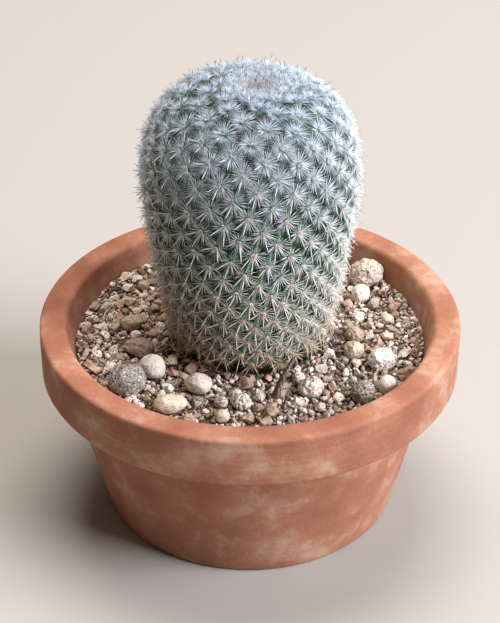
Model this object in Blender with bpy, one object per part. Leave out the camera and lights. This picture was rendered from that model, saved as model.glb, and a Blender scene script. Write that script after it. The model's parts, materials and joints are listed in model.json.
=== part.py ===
"""A mammillaria growing in a plain clay pan, dressed with mixed pumice and river grit.

The stem is one solid: a flat-crowned barrel whose tubercles stand in golden-angle spirals, each
one ending in a star of spines. It stands in a plain hole through the grit into the potting mix.
Lengths are in metres, +Z is up, and the origin is the centre of the pot's flat base.
"""

from math import cos, cosh, exp, pi, radians, sin, sqrt, tanh
import random

import bmesh
import bpy
import numpy as np
from mathutils import Euler, Matrix, Vector

MM = 0.001
GAP = 0.35 * MM  # between two solids that touch on the real thing
SLIVER = 0.02 * MM  # edges shorter than this are closed after a Boolean

# Pot: an unglazed clay pan
POT_HEIGHT = 55 * MM
RIM_RADIUS = 56 * MM
RIM_DEPTH = 14 * MM
RIM_STEP = 2.6 * MM
BASE_RADIUS = 40 * MM
WALL = 4.4 * MM
FLOOR = 5 * MM
DRAIN_RADIUS = 5.5 * MM
EDGE = 0.9 * MM  # softening of the pot's corners
POT_SEGMENTS = 40
POT_SHARP_ANGLE = radians(32)

# Fill
GRIT_TOP = POT_HEIGHT - 6 * MM
GRIT_DEPTH = 8 * MM
CROCK_RADIUS = 15 * MM
CROCK_THICKNESS = 3.6 * MM
CROCK_ARCH = 2 * MM  # rise of the shard's curve over the drain hole
CROCK_SIDES = 14
CROCK_RAGGED = 0.82  # its corners lie between this share of its radius and the whole
CROCK_BENDS = 7  # lines across the shard along which it bends
CROCK_BEND_ZONE = 0.75
CROCK_ROOM = 2 * GAP  # left round the shard in the mix
CROCK_SEED = 5
MIX_SEGMENTS = 28

# Stem above the grit, measured over the tips of the tubercles
STEM_RADIUS = 27.2 * MM
STEM_FOOT_RADIUS = 20 * MM
SHOULDER_HEIGHT = 48 * MM
CROWN_RISE = 26 * MM
CROWN_SQUARENESS = 2.7  # exponent of the crown's superellipse: 2 would be a plain ellipse
FOOT_TAPER = 1.3
CROWN_SHIFT = 2.2 * MM  # the growing point sits this far to the right of the axis
CROWN_SHIFT_ZONE = 15 * MM
DIMPLE_DEPTH = 2.2 * MM
DIMPLE_RADIUS = 7 * MM
SIDE_STEPS = 60
CROWN_STEPS = 80

# Foot and root, from just under the grit down, and the hole they stand in: (radius, depth)
FOOT_RING = (18.8 * MM, 1.5 * MM)
FOOT_SIDES = 16
ROOT = [
    (13.5 * MM, 5 * MM), (12 * MM, 10 * MM), (7.5 * MM, 15 * MM),
    (4.5 * MM, 20 * MM), (2.5 * MM, 26 * MM),
]
SOIL_HOLE = [
    (20 * MM, 0), (17.8 * MM, 3 * MM), (15 * MM, 6 * MM), (14 * MM, 10 * MM),
    (9.5 * MM, 15 * MM), (6.3 * MM, 20 * MM), (4.2 * MM, 26.5 * MM),
]

# Tubercles and spines
GOLDEN_ANGLE = radians(137.508)
SPIRAL_PHASE = radians(206.2)
FIRST_AREOLE = 3 * MM  # height of the lowest areole over the grit
AREOLE_AREA = 33.3 * MM * MM
FOOT_AREA = 18.7 * MM * MM  # the oldest tubercles have dried closer together
FOOT_ZONE = (10 * MM, 44.8 * MM)  # heights between which the area grows from one to the other
CROWN_ZONE = 13 * MM
CROWN_CROWDING = 1.6
CROWN_CENTRE = 2.3 * MM
TUBERCLE_SHARE = 0.5  # height of a tubercle as a share of the distance between two
TUBERCLE_MOST = 3.1 * MM
PLATFORM_SHARE = 0.15
CORNERS = 5  # spines on each areole
CROWN_CORNERS = 4  # on those packed closer in the crown by more than CROWN_YOUTH
CROWN_YOUTH = 0.1
AREOLE_BULGE = 0.3 * MM
SPINE_LENGTH = 4 * MM
DOWN_SPINE_LENGTH = 5.4 * MM
SPINE_MOST = 0.75  # longest spine as a share of the distance between two areoles
SPINE_RISE = radians(40)
CROWN_SPINE_RISE = radians(62)
SPINE_TWIST = radians(23)
SPINE_JITTER = 0.08
TWIST_JITTER = 0.2
SPINE_SEED = 3
FOOT_ROWS = 6 * MM  # up to this height the spines are worn down
FOOT_WEAR = 0.7
SPINE_CLEARANCE = 1.4 * MM  # lowest spine tip over the grit

# Grit
RELIEF_STONES = 62
RELIEF_SIZE = (2.3 * MM, 3.9 * MM)
RELIEF_WIDTH = (0.7, 0.95)  # shares of a stone's half length
RELIEF_HEIGHT = (0.55, 0.8)
RELIEF_WANDER = 0.05
RELIEF_OVERHANG = 0.4  # share of a stone that may reach over an edge or a pebble's socket
RELIEF_PEBBLE_REACH = 0.75
RELIEF_ROUGHNESS = 0.14
RELIEF_TILT = 0.2
RELIEF_SINK = 0.35  # share of a stone's half height by which its middle lies below the surface
RELIEF_SINK_BY_STEM = 0.8
STEM_CLEARANCE = 9 * MM  # width of the ring round the foot that the spines reach over
RELIEF_SEEDS = (11, 23)
GRIT_SEGMENTS = 36
HOLE_SEGMENTS = 20
CUT_OVERLAP = 2 * MM

# The large pebbles: place on the grit, half length, half width, half height, heading, kind
PEBBLES = {
    "grey_rough": (-31.6, -24.1, 5.3, 4.9, 4.3, 20, "grey_stone"),
    "white_smooth": (-25.4, -17.6, 4.0, 3.4, 3.6, -40, "cream_stone"),
    "cream_oval": (-13.2, -24.9, 3.8, 3.0, 2.9, -20, "cream_stone"),
    "tan_block": (-29.5, -7.9, 4.3, 2.9, 2.3, -5, "brown_stone"),
    "tan_round": (-32.0, 3.9, 3.3, 2.6, 2.0, 15, "brown_stone"),
    "white_right": (30.6, 17.9, 2.9, 2.6, 2.8, 60, "cream_stone"),
    "olive_round": (28.0, -2.1, 2.5, 2.4, 2.4, 0, "brown_stone"),
    "cream_angular": (27.4, -9.6, 2.9, 2.7, 2.6, -30, "cream_stone"),
    "speckled_pumice": (34.4, -14.2, 3.9, 3.5, 3.1, 10, "cream_stone"),
    "cream_bumpy": (15.6, -26.5, 3.6, 3.0, 2.8, 5, "cream_stone"),
    "cream_front": (-20.3, -33.2, 4.5, 3.1, 2.5, 5, "cream_stone"),
    "brown_front": (28.8, -28.9, 3.3, 3.2, 3.2, 70, "grey_stone"),
    "white_front": (-2.2, -32.3, 2.9, 2.5, 2.2, -20, "cream_stone"),
    "round_front": (-7.0, -38.2, 2.0, 1.9, 1.9, 0, "cream_stone"),
    "cream_right": (35.2, -25.4, 2.6, 2.5, 2.6, 30, "cream_stone"),
    "dark_angular": (32.4, 27.0, 5.2, 4.4, 4.4, 35, "grey_stone"),
}
PEBBLE_SINK = 0.3  # share of its half height by which a pebble is sunk
PEBBLE_ROUGHNESS = 0.07
PEBBLE_SEED = 100
SOCKET_GAP = 1.3 * GAP

# Twig leaning in the grit before the stem
TWIG_FOOT = Vector((6.2 * MM, -28.2 * MM, -3 * MM))
TWIG_TIP = Vector((11.2 * MM, -26.8 * MM, 10.4 * MM))
TWIG_BOW = Vector((-0.8 * MM, -0.9 * MM, 0.5 * MM))
TWIG_RADII = (1.15 * MM, 0.45 * MM)
TWIG_RINGS = 9
TWIG_SIDES = 8
TWIG_KNOTS = (2, 5)  # rings that swell to knots
TWIG_KNOT = 1.12


def material(name, colour, roughness):
    """A Principled material with one base colour."""
    made = bpy.data.materials.new(name)
    made.use_nodes = True
    shader = made.node_tree.nodes["Principled BSDF"]
    shader.inputs["Base Color"].default_value = (*colour, 1)
    shader.inputs["Roughness"].default_value = roughness
    shader.inputs["Metallic"].default_value = 0
    return made


def add_object(name, bm, finish, z=0.0):
    """Makes an object of a bmesh whose points are measured from height z."""
    bmesh.ops.recalc_face_normals(bm, faces=bm.faces)
    mesh = bpy.data.meshes.new(name)
    bm.to_mesh(mesh)
    bm.free()
    mesh.materials.append(finish)
    made = bpy.data.objects.new(name, mesh)
    made.location.z = z
    bpy.context.scene.collection.objects.link(made)
    return made


def turned(profile, segments=POT_SEGMENTS, closed=True):
    """A solid of revolution from (radius, height) points: a closed loop, or a line from axis to axis."""
    bm = bmesh.new()
    line = [bm.verts.new((radius, 0, z)) for radius, z in profile]
    edges = [bm.edges.new(pair) for pair in zip(line, line[1:])]
    if closed:
        edges.append(bm.edges.new((line[-1], line[0])))
    bmesh.ops.spin(
        bm, geom=line + edges, axis=(0, 0, 1), cent=(0, 0, 0), angle=2 * pi,
        steps=segments, use_merge=True,
    )
    bmesh.ops.remove_doubles(bm, verts=bm.verts, dist=0.001 * MM)
    bmesh.ops.recalc_face_normals(bm, faces=bm.faces)
    return bm


def inner_radius(z):
    """Radius of the pot's inside at height z, along its tapered wall."""
    share = (z - FLOOR) / (POT_HEIGHT - FLOOR)
    low = BASE_RADIUS - WALL
    high = RIM_RADIUS - RIM_STEP - WALL
    return low + (high - low) * share


def build_pot(clay):
    """The clay pan: one turned wall with a heavy rim and a drain hole in its floor."""
    outer_at_step = inner_radius(POT_HEIGHT - RIM_DEPTH) + WALL
    outside = [
        (DRAIN_RADIUS, 0),
        (BASE_RADIUS - EDGE, 0),
        (BASE_RADIUS, EDGE),
        (outer_at_step, POT_HEIGHT - RIM_DEPTH - EDGE),
        (RIM_RADIUS - EDGE, POT_HEIGHT - RIM_DEPTH),
        (RIM_RADIUS - 0.4 * EDGE, POT_HEIGHT - RIM_DEPTH + EDGE),
        (RIM_RADIUS, POT_HEIGHT - EDGE),
        (RIM_RADIUS - EDGE, POT_HEIGHT),
    ]
    inside = [
        (inner_radius(POT_HEIGHT) + EDGE, POT_HEIGHT),
        (inner_radius(POT_HEIGHT - EDGE), POT_HEIGHT - EDGE),
        (inner_radius(FLOOR + 2 * EDGE), FLOOR + 2 * EDGE),
        (inner_radius(FLOOR) - 2 * EDGE, FLOOR),
        (DRAIN_RADIUS, FLOOR),
    ]
    pot = add_object("pot", turned(outside + inside), clay)
    pot.data.shade_smooth()
    pot.data.set_sharp_from_angle(angle=POT_SHARP_ANGLE)
    return pot


def build_crock(clay):
    """A curved pot shard over the drain hole, which lets water out and holds the mix in."""
    bm = bmesh.new()
    bmesh.ops.create_circle(bm, cap_ends=True, segments=CROCK_SIDES, radius=CROCK_RADIUS)
    rng = random.Random(CROCK_SEED)
    for vert in bm.verts:
        vert.co *= rng.uniform(CROCK_RAGGED, 1)
    lifted = bmesh.ops.extrude_face_region(bm, geom=bm.faces[:])["geom"]
    top = [item for item in lifted if isinstance(item, bmesh.types.BMVert)]
    bmesh.ops.translate(bm, verts=top, vec=(0, 0, CROCK_THICKNESS))
    for x in np.linspace(-CROCK_BEND_ZONE, CROCK_BEND_ZONE, CROCK_BENDS) * CROCK_RADIUS:
        bmesh.ops.bisect_plane(
            bm, geom=bm.verts[:] + bm.edges[:] + bm.faces[:], plane_co=(x, 0, 0), plane_no=(1, 0, 0)
        )
    for vert in bm.verts:
        vert.co.z += CROCK_ARCH * (1 - (vert.co.x / CROCK_RADIUS) ** 2)
    return add_object("crock", bm, clay, FLOOR + 0.3 * GAP)


def build_mix(soil):
    """The potting mix: it fills the pan to the grit, round a plain hole for the stem's foot."""
    top = GRIT_TOP - GRIT_DEPTH
    low = FLOOR + GAP
    roof = FLOOR + CROCK_THICKNESS + CROCK_ARCH + 1.5 * GAP
    hole = [(r, GRIT_TOP - depth) for r, depth in SOIL_HOLE if depth > GRIT_DEPTH]
    profile = [
        (0, roof),
        (CROCK_RADIUS + CROCK_ROOM, roof),
        (CROCK_RADIUS + CROCK_ROOM, low),
        (inner_radius(low) - GAP - 2 * EDGE, low),
        (inner_radius(low + 2 * EDGE) - GAP, low + 2 * EDGE),
        (inner_radius(top) - GAP, top),
        (hole[0][0], top),
        *hole,
        (0, hole[-1][1]),
    ]
    return add_object("potting_mix", turned(profile, segments=MIX_SEGMENTS, closed=False), soil)


def stone(bm, place, half_sizes, turn, roughness, rng, subdivisions):
    """Adds one rock: an icosphere with its corners pushed in and out."""
    made = bmesh.ops.create_icosphere(bm, subdivisions=subdivisions, radius=1)["verts"]
    for vert in made:
        vert.co *= 1 + rng.uniform(-roughness, roughness)
    bmesh.ops.scale(bm, vec=half_sizes, verts=made)
    bmesh.ops.rotate(bm, cent=(0, 0, 0), matrix=turn, verts=made)
    bmesh.ops.translate(bm, vec=place, verts=made)


def pebble_mesh(index, size, heading, swell=0.0):
    """One large pebble round its own middle, swollen for the socket that it presses in the grit."""
    bm = bmesh.new()
    half_sizes = Vector(size) + Vector((swell,) * 3)
    turn = Euler((0, 0, heading)).to_matrix()
    rng = random.Random(PEBBLE_SEED + index)
    stone(bm, (0, 0, 0), half_sizes, turn, PEBBLE_ROUGHNESS, rng, subdivisions=2)
    return bm


def pebble_places():
    """(name, place, half sizes, heading, kind) of each large pebble."""
    for name, (x, y, length, width, height, heading, kind) in PEBBLES.items():
        place = Vector((x, y, 0)) * MM
        place.z = GRIT_TOP + height * MM * (1 - 2 * PEBBLE_SINK)
        yield name, place, Vector((length, width, height)) * MM, radians(heading), kind


def build_pebbles(finishes):
    """The large pebbles, each a solid of its own, half sunk in the grit."""
    for index, (name, place, size, heading, kind) in enumerate(pebble_places()):
        pebble = add_object("pebble_" + name, pebble_mesh(index, size, heading), finishes[kind])
        pebble.location = place


def twig_mesh(swell=0.0):
    """A bowed, tapering dead stalk. swell makes the hole that it stands in."""
    bm = bmesh.new()
    axis = (TWIG_TIP - TWIG_FOOT).normalized()
    turn = axis.to_track_quat("Z", "Y").to_matrix()
    rings = []
    for i in range(TWIG_RINGS):
        share = i / (TWIG_RINGS - 1)
        radius = TWIG_RADII[0] + (TWIG_RADII[1] - TWIG_RADII[0]) * share + swell
        radius *= TWIG_KNOT if i in TWIG_KNOTS else 1
        centre = TWIG_FOOT.lerp(TWIG_TIP, share) + TWIG_BOW * sin(pi * share)
        centre -= axis * swell * (1 - 2 * share)
        ring = bmesh.ops.create_circle(bm, segments=TWIG_SIDES, radius=radius)["verts"]
        bmesh.ops.rotate(bm, cent=(0, 0, 0), matrix=turn, verts=ring)
        bmesh.ops.translate(bm, vec=centre, verts=ring)
        edges = dict.fromkeys(edge for vert in ring for edge in vert.link_edges)
        rings.append((ring, list(edges)))
    for (_, low), (_, high) in zip(rings, rings[1:]):
        bmesh.ops.bridge_loops(bm, edges=low + high)
    bm.faces.new(rings[0][0])
    bm.faces.new(rings[-1][0])
    bmesh.ops.recalc_face_normals(bm, faces=bm.faces)
    return bm


def build_twig(wood):
    """The dead stalk that leans in the grit before the stem."""
    return add_object("twig", twig_mesh(), wood, GRIT_TOP)


def helper(name, bm, collection, place=(0, 0, 0)):
    """An object that only takes part in a Boolean."""
    made = add_object(name, bm, None)
    bpy.context.scene.collection.objects.unlink(made)
    collection.objects.link(made)
    made.location = place
    made.hide_render = True
    made.display_type = "WIRE"
    return made


def apply_boolean(obj, collection, operation):
    """Applies one Boolean with all of a collection, then removes the collection's objects."""
    bpy.context.scene.collection.children.link(collection)
    boolean = obj.modifiers.new(operation.lower(), "BOOLEAN")
    boolean.operation = operation
    boolean.operand_type = "COLLECTION"
    boolean.collection = collection
    boolean.solver = "EXACT"
    bpy.context.view_layer.update()
    result = obj.evaluated_get(bpy.context.evaluated_depsgraph_get())
    mesh = bpy.data.meshes.new_from_object(result)
    bm = bmesh.new()
    bm.from_mesh(mesh)
    bmesh.ops.remove_doubles(bm, verts=bm.verts, dist=SLIVER)
    bmesh.ops.dissolve_degenerate(bm, dist=SLIVER, edges=bm.edges)
    bm.to_mesh(mesh)
    bm.free()
    obj.modifiers.clear()
    obj.data = mesh
    for spent in list(collection.objects):
        bpy.data.objects.remove(spent)
    bpy.data.collections.remove(collection)


def relief_places():
    """(x, y, half size) of each stone raised on the grit: even over the ring, clear of the pebbles."""
    rng = random.Random(RELIEF_SEEDS[0])
    inner = SOIL_HOLE[0][0] + 1.5 * MM
    outer = inner_radius(GRIT_TOP) - GAP
    pebbles = [(place.xy, max(size.xy)) for _, place, size, _, _ in pebble_places()]
    for i in range(RELIEF_STONES):
        size = rng.uniform(*RELIEF_SIZE)
        share = (i + 0.5) / RELIEF_STONES
        low, high = inner + RELIEF_OVERHANG * size, outer - size
        radius = sqrt(low**2 + (high**2 - low**2) * share)
        angle = i * GOLDEN_ANGLE + rng.uniform(-RELIEF_WANDER, RELIEF_WANDER)
        spot = Vector((radius * cos(angle), radius * sin(angle)))
        near = RELIEF_OVERHANG * size
        if all((spot - other).length > RELIEF_PEBBLE_REACH * reach + near for other, reach in pebbles):
            yield spot.x, spot.y, size


def build_grit(gravel):
    """The dressing: a ring of grit with stones raised on it, cut for the stem, pebbles and twig."""
    foot = GRIT_TOP - GRIT_DEPTH + GAP
    profile = [
        (SOIL_HOLE[0][0] - MM, foot),
        (inner_radius(foot) - GAP, foot),
        (inner_radius(GRIT_TOP) - GAP, GRIT_TOP),
        (SOIL_HOLE[0][0] - MM, GRIT_TOP),
    ]
    grit = add_object("grit", turned(profile, segments=GRIT_SEGMENTS), gravel)
    rng = random.Random(RELIEF_SEEDS[1])
    stones = bpy.data.collections.new("stones")
    for i, (x, y, size) in enumerate(relief_places()):
        bm = bmesh.new()
        half_sizes = (size, size * rng.uniform(*RELIEF_WIDTH), size * rng.uniform(*RELIEF_HEIGHT))
        near_stem = sqrt(x * x + y * y) < STEM_FOOT_RADIUS + STEM_CLEARANCE
        sink = RELIEF_SINK_BY_STEM if near_stem else RELIEF_SINK
        place = (x, y, GRIT_TOP - sink * half_sizes[2])
        tilts = [rng.uniform(-RELIEF_TILT, RELIEF_TILT) for _ in range(2)]
        turn = Euler((*tilts, rng.uniform(0, pi))).to_matrix()
        stone(bm, place, half_sizes, turn, RELIEF_ROUGHNESS, rng, subdivisions=1)
        helper(f"stone_{i}", bm, stones)
    apply_boolean(grit, stones, "UNION")
    cutters = bpy.data.collections.new("cutters")
    hole = [(r, GRIT_TOP - depth) for r, depth in SOIL_HOLE if depth <= GRIT_DEPTH]
    hole_profile = [
        (0, foot - CUT_OVERLAP), (hole[-1][0] - CUT_OVERLAP, foot - CUT_OVERLAP), *hole[::-1],
        (hole[0][0], GRIT_TOP + 3 * CUT_OVERLAP), (0, GRIT_TOP + 3 * CUT_OVERLAP),
    ]
    helper("stem_hole", turned(hole_profile, segments=HOLE_SEGMENTS, closed=False), cutters)
    for index, (name, place, size, heading, _) in enumerate(pebble_places()):
        helper("socket_" + name, pebble_mesh(index, size, heading, SOCKET_GAP), cutters, place)
    helper("twig_hole", twig_mesh(swell=GAP), cutters, (0, 0, GRIT_TOP))
    apply_boolean(grit, cutters, "DIFFERENCE")
    return grit


def stem_profile():
    """Points (radius, height) over the tubercles' tips, from under the grit to the crown's middle."""
    side = []
    for z in np.linspace(0, SHOULDER_HEIGHT, SIDE_STEPS):
        share = (SHOULDER_HEIGHT - z) / SHOULDER_HEIGHT
        side.append((STEM_RADIUS - (STEM_RADIUS - STEM_FOOT_RADIUS) * share**FOOT_TAPER, z))
    crown = []
    for t in np.linspace(0, pi / 2, CROWN_STEPS)[1:]:
        radius = STEM_RADIUS * max(cos(t), 0) ** (2 / CROWN_SQUARENESS)
        z = SHOULDER_HEIGHT + CROWN_RISE * sin(t) ** (2 / CROWN_SQUARENESS)
        crown.append((radius, z - DIMPLE_DEPTH * exp(-((radius / DIMPLE_RADIUS) ** 2))))
    return np.array([(FOOT_RING[0], -FOOT_RING[1])] + side + crown)


class Profile:
    """The stem's profile by arc length, with its conformal latitude on a unit sphere."""

    def __init__(self):
        points = stem_profile()
        steps = np.hypot(*np.diff(points, axis=0).T)
        self.radii, self.heights = points.T
        self.lengths = np.concatenate([[0], np.cumsum(steps)])
        middle_radii = np.maximum((self.radii[1:] + self.radii[:-1]) / 2, 0.1 * MM)
        latitudes = np.concatenate([[0], np.cumsum(steps / middle_radii)])
        shoulder = np.interp(self.length_at(SHOULDER_HEIGHT), self.lengths, latitudes)
        self.latitudes = latitudes - shoulder

    def length_at(self, height):
        """Arc length up to a height on the side, below the crown."""
        side = slice(0, SIDE_STEPS + 1)
        return float(np.interp(height, self.heights[side], self.lengths[side]))

    def at(self, length):
        """Radius and height at an arc length."""
        radius = float(np.interp(length, self.lengths, self.radii))
        height = float(np.interp(length, self.lengths, self.heights))
        return radius, height

    def place(self, length, angle):
        """The point on the tips' surface at that arc length and angle, and the outward normal."""
        radius, height = self.at(length)
        before, after = self.at(length - MM), self.at(length + MM)
        along = Vector((after[0] - before[0], after[1] - before[1])).normalized()
        normal = Vector((along.y * cos(angle), along.y * sin(angle), -along.x))
        on_crown = height > SHOULDER_HEIGHT and radius < CROWN_SHIFT_ZONE
        shift = CROWN_SHIFT * (1 - (radius / CROWN_SHIFT_ZONE) ** 2) if on_crown else 0
        return Vector((radius * cos(angle) + shift, radius * sin(angle), height)), normal

    def on_sphere(self, length, angle):
        """The same point on a unit sphere, keeping angles, so that neighbours stay neighbours."""
        latitude = float(np.interp(length, self.lengths, self.latitudes))
        ring = 1 / cosh(latitude)
        return Vector((ring * cos(angle), ring * sin(angle), tanh(latitude)))


def areole_area(radius, height):
    """Skin area that one tubercle takes: less at the dried foot, and less and less in the crown."""
    if height > SHOULDER_HEIGHT and radius < CROWN_ZONE:
        return AREOLE_AREA * (radius / CROWN_ZONE) ** CROWN_CROWDING
    return float(np.interp(height, FOOT_ZONE, (FOOT_AREA, AREOLE_AREA)))


def lattice_spacing(area):
    """Distance between neighbours where each takes that area of a triangular lattice."""
    return sqrt(area * 2 / sqrt(3))


def areoles(profile):
    """(arc length, angle, distance to its neighbours) of each areole, from the lowest up."""
    length = profile.length_at(FIRST_AREOLE)
    angle = SPIRAL_PHASE
    while True:
        radius, height = profile.at(length)
        if height > SHOULDER_HEIGHT and radius < CROWN_CENTRE:
            return
        area = areole_area(radius, height)
        yield length, angle, lattice_spacing(area)
        length += area / (2 * pi * radius)
        angle -= GOLDEN_ANGLE


def faces_round(vert):
    """The faces at a vertex, in order."""
    first = loop = vert.link_loops[0]
    found = []
    while True:
        found.append(loop.face)
        loop = loop.link_loop_prev.link_loop_radial_next
        if loop == first:
            return found


def cell_skin(profile, growing):
    """The stem's skin as one face for each areole or point of the root, and the areoles' faces."""
    sphere = bmesh.new()
    point_of = sphere.verts.layers.int.new("point")
    spots = []

    def add(length, angle, spacing):
        vert = sphere.verts.new(profile.on_sphere(length, angle))
        vert[point_of] = len(spots)
        tip, normal = profile.place(length, angle)
        spots.append((tip, normal, min(TUBERCLE_MOST, TUBERCLE_SHARE * spacing)))

    for length, angle, spacing in growing:
        add(length, angle, spacing)
    for side in range(FOOT_SIDES):
        add(0, 2 * pi * side / FOOT_SIDES, 0)
    pole = sphere.verts.new((0, 0, -1))
    pole[point_of] = len(spots)
    spots.append((Vector((0, 0, -FOOT_RING[1])), Vector((0, 0, -1)), 0))
    bmesh.ops.convex_hull(sphere, input=sphere.verts[:])

    skin = bmesh.new()
    valleys = {}
    for face in sphere.faces:
        near = [spots[vert[point_of]] for vert in face.verts]
        middle = sum((tip for tip, _, _ in near), Vector()) / 3
        normal = sum((normal for _, normal, _ in near), Vector()).normalized()
        depth = sum(height for _, _, height in near) / 3
        valleys[face] = skin.verts.new(middle - normal * depth)
    cells = {}
    for vert in sphere.verts:
        cells[vert[point_of]] = skin.faces.new([valleys[around] for around in faces_round(vert)])
    sphere.free()
    bmesh.ops.recalc_face_normals(skin, faces=skin.faces)
    return skin, cells


def grow_root(skin, cell):
    """Draws the cell under the foot down into the root."""
    for radius, depth in ROOT:
        cell = bmesh.ops.extrude_discrete_faces(skin, faces=[cell])["faces"][0]
        for vert in cell.verts:
            vert.co = (*(vert.co.xy.normalized() * radius), -depth)


def grow_tubercle(skin, cell, tip, normal, platform, corners):
    """Raises a cell to a small platform at the tip. Returns the platform's fan of triangles."""
    top = bmesh.ops.extrude_discrete_faces(skin, faces=[cell])["faces"][0]
    while len(top.verts) > corners:
        shortest = min(top.edges, key=lambda edge: edge.calc_length())
        middle = (shortest.verts[0].co + shortest.verts[1].co) / 2
        bmesh.ops.pointmerge(skin, verts=shortest.verts[:], merge_co=middle)
    middle = top.calc_center_median()
    for vert in top.verts:
        out = vert.co - middle
        out -= normal * out.dot(normal)
        vert.co = tip + out.normalized() * platform
    poked = bmesh.ops.poke(skin, faces=[top])
    poked["verts"][0].co = tip + normal * AREOLE_BULGE
    return poked["faces"]


def grow_spines(skin, fan, tip, normal, spacing, rise, rng):
    """Draws each triangle of the areole out into a spine, the lowest one longest."""
    down = Vector((0, 0, -1)) - normal * normal.dot(Vector((0, 0, -1)))
    outs = {}
    for triangle in fan:
        out = triangle.calc_center_median() - tip
        outs[triangle] = (out - normal * out.dot(normal)).normalized()
    lowest = max(fan, key=lambda triangle: outs[triangle].dot(down))
    for triangle in fan:
        length = min(SPINE_LENGTH, SPINE_MOST * spacing)
        if triangle is lowest:
            length *= DOWN_SPINE_LENGTH / SPINE_LENGTH
        elif tip.z < FOOT_ROWS:
            length *= FOOT_WEAR
        length *= 1 + rng.uniform(-SPINE_JITTER, SPINE_JITTER)
        twist = SPINE_TWIST * (1 + rng.uniform(-TWIST_JITTER, TWIST_JITTER))
        out = Matrix.Rotation(twist, 3, normal) @ outs[triangle]
        end = tip + out * length * cos(rise) + normal * length * sin(rise)
        end.z = max(end.z, SPINE_CLEARANCE)
        bmesh.ops.poke(skin, faces=[triangle])["verts"][0].co = end


def build_mammillaria(flesh):
    """The stem, root and spines, grown as one solid."""
    profile = Profile()
    growing = list(areoles(profile))
    skin, cells = cell_skin(profile, growing)
    grow_root(skin, cells[len(growing) + FOOT_SIDES])
    rng = random.Random(SPINE_SEED)
    for index, (length, angle, spacing) in enumerate(growing):
        tip, normal = profile.place(length, angle)
        crowding = 1 - spacing / lattice_spacing(AREOLE_AREA)
        youth = max(0, crowding) if tip.z > SHOULDER_HEIGHT else 0
        corners = CROWN_CORNERS if youth > CROWN_YOUTH else CORNERS
        fan = grow_tubercle(skin, cells[index], tip, normal, PLATFORM_SHARE * spacing, corners)
        rise = SPINE_RISE + (CROWN_SPINE_RISE - SPINE_RISE) * youth
        grow_spines(skin, fan, tip, normal, spacing, rise, rng)
    print(len(growing), "areoles")
    return add_object("mammillaria", skin, flesh, GRIT_TOP)


def main():
    for obj in list(bpy.data.objects):
        bpy.data.objects.remove(obj)
    clay = material("terracotta", (0.55, 0.23, 0.12), 0.85)
    flesh = material("spined_skin", (0.55, 0.62, 0.55), 0.7)
    gravel = material("mixed_grit", (0.5, 0.41, 0.33), 0.9)
    soil = material("potting_mix", (0.06, 0.04, 0.03), 0.95)
    wood = material("dead_twig", (0.14, 0.1, 0.08), 0.85)
    finishes = {
        "grey_stone": material("grey_stone", (0.2, 0.18, 0.17), 0.9),
        "cream_stone": material("cream_stone", (0.67, 0.59, 0.48), 0.85),
        "brown_stone": material("brown_stone", (0.4, 0.29, 0.21), 0.9),
    }
    build_pot(clay)
    build_crock(clay)
    build_mix(soil)
    build_grit(gravel)
    build_pebbles(finishes)
    build_twig(wood)
    build_mammillaria(flesh)


main()
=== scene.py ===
# %% [markdown]
# # A potted mammillaria
# This lesson dresses a small white-spined cactus in a clay pan. The solids of the stem, the pan, the
# grit and the pebbles are already fixed at their real size, and nothing here moves them. Each one gets
# a fine mesh or a material that stays within its form.

import json
import random
from math import cos, cosh, exp, pi, radians, sin, sqrt, tanh

import bmesh
import bpy
import numpy as np
from mathutils import Euler, Matrix, Vector, noise
from mathutils.bvhtree import BVHTree


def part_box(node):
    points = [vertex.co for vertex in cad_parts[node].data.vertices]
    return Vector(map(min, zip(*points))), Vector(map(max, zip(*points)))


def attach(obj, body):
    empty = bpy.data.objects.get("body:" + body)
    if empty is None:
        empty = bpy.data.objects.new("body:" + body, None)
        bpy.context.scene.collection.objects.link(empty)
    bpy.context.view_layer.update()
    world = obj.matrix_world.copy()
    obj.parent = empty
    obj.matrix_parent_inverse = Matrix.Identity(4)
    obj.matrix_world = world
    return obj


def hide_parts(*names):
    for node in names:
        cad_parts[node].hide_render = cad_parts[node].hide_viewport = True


MM = 0.001
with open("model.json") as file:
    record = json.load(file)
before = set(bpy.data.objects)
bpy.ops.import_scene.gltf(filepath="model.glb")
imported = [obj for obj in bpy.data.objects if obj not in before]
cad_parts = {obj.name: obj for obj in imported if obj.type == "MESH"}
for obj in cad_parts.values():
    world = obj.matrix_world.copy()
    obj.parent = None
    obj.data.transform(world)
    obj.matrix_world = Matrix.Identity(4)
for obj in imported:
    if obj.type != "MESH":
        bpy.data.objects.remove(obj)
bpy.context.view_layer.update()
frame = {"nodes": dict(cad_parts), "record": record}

# %% [markdown]
# ## Colours and nodes
# Colours are easiest to note as sRGB hex, but Blender mixes light in linear values, so one function
# turns the one into the other. A second function adds any node, sets its inputs and links them, which
# keeps each material down to a few lines that read like a recipe. Some inputs go by number: a Map
# Range node takes its value in 0, the range it comes from in 1 and 2 and the range it goes to in 3
# and 4, and a Mix node takes its share in 0 and its two colours in 6 and 7.

# %% Helpers for colours and nodes
COLOURS = {"data_type": "RGBA"}  # settings of a Mix node that blends two colours
PRODUCT = {"data_type": "RGBA", "blend_type": "MULTIPLY"}  # and of one that multiplies them


def colour(code):
    """An sRGB hex value as the linear colour that nodes take."""
    channels = [int(code[i:i + 2], 16) / 255 for i in (1, 3, 5)]
    return (*(c / 12.92 if c <= 0.04045 else ((c + 0.055) / 1.055) ** 2.4 for c in channels), 1)


def feed(tree, node, inputs):
    """Sets a node's inputs, or links them to a socket or to another node's first output in use."""
    for name, value in inputs.items():
        if isinstance(value, bpy.types.Node):
            value = next(socket for socket in value.outputs if socket.enabled)
        if isinstance(value, bpy.types.NodeSocket):
            tree.links.new(value, node.inputs[name])
        elif isinstance(value, str):
            node.inputs[name].default_value = colour(value)
        else:
            node.inputs[name].default_value = value


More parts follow.
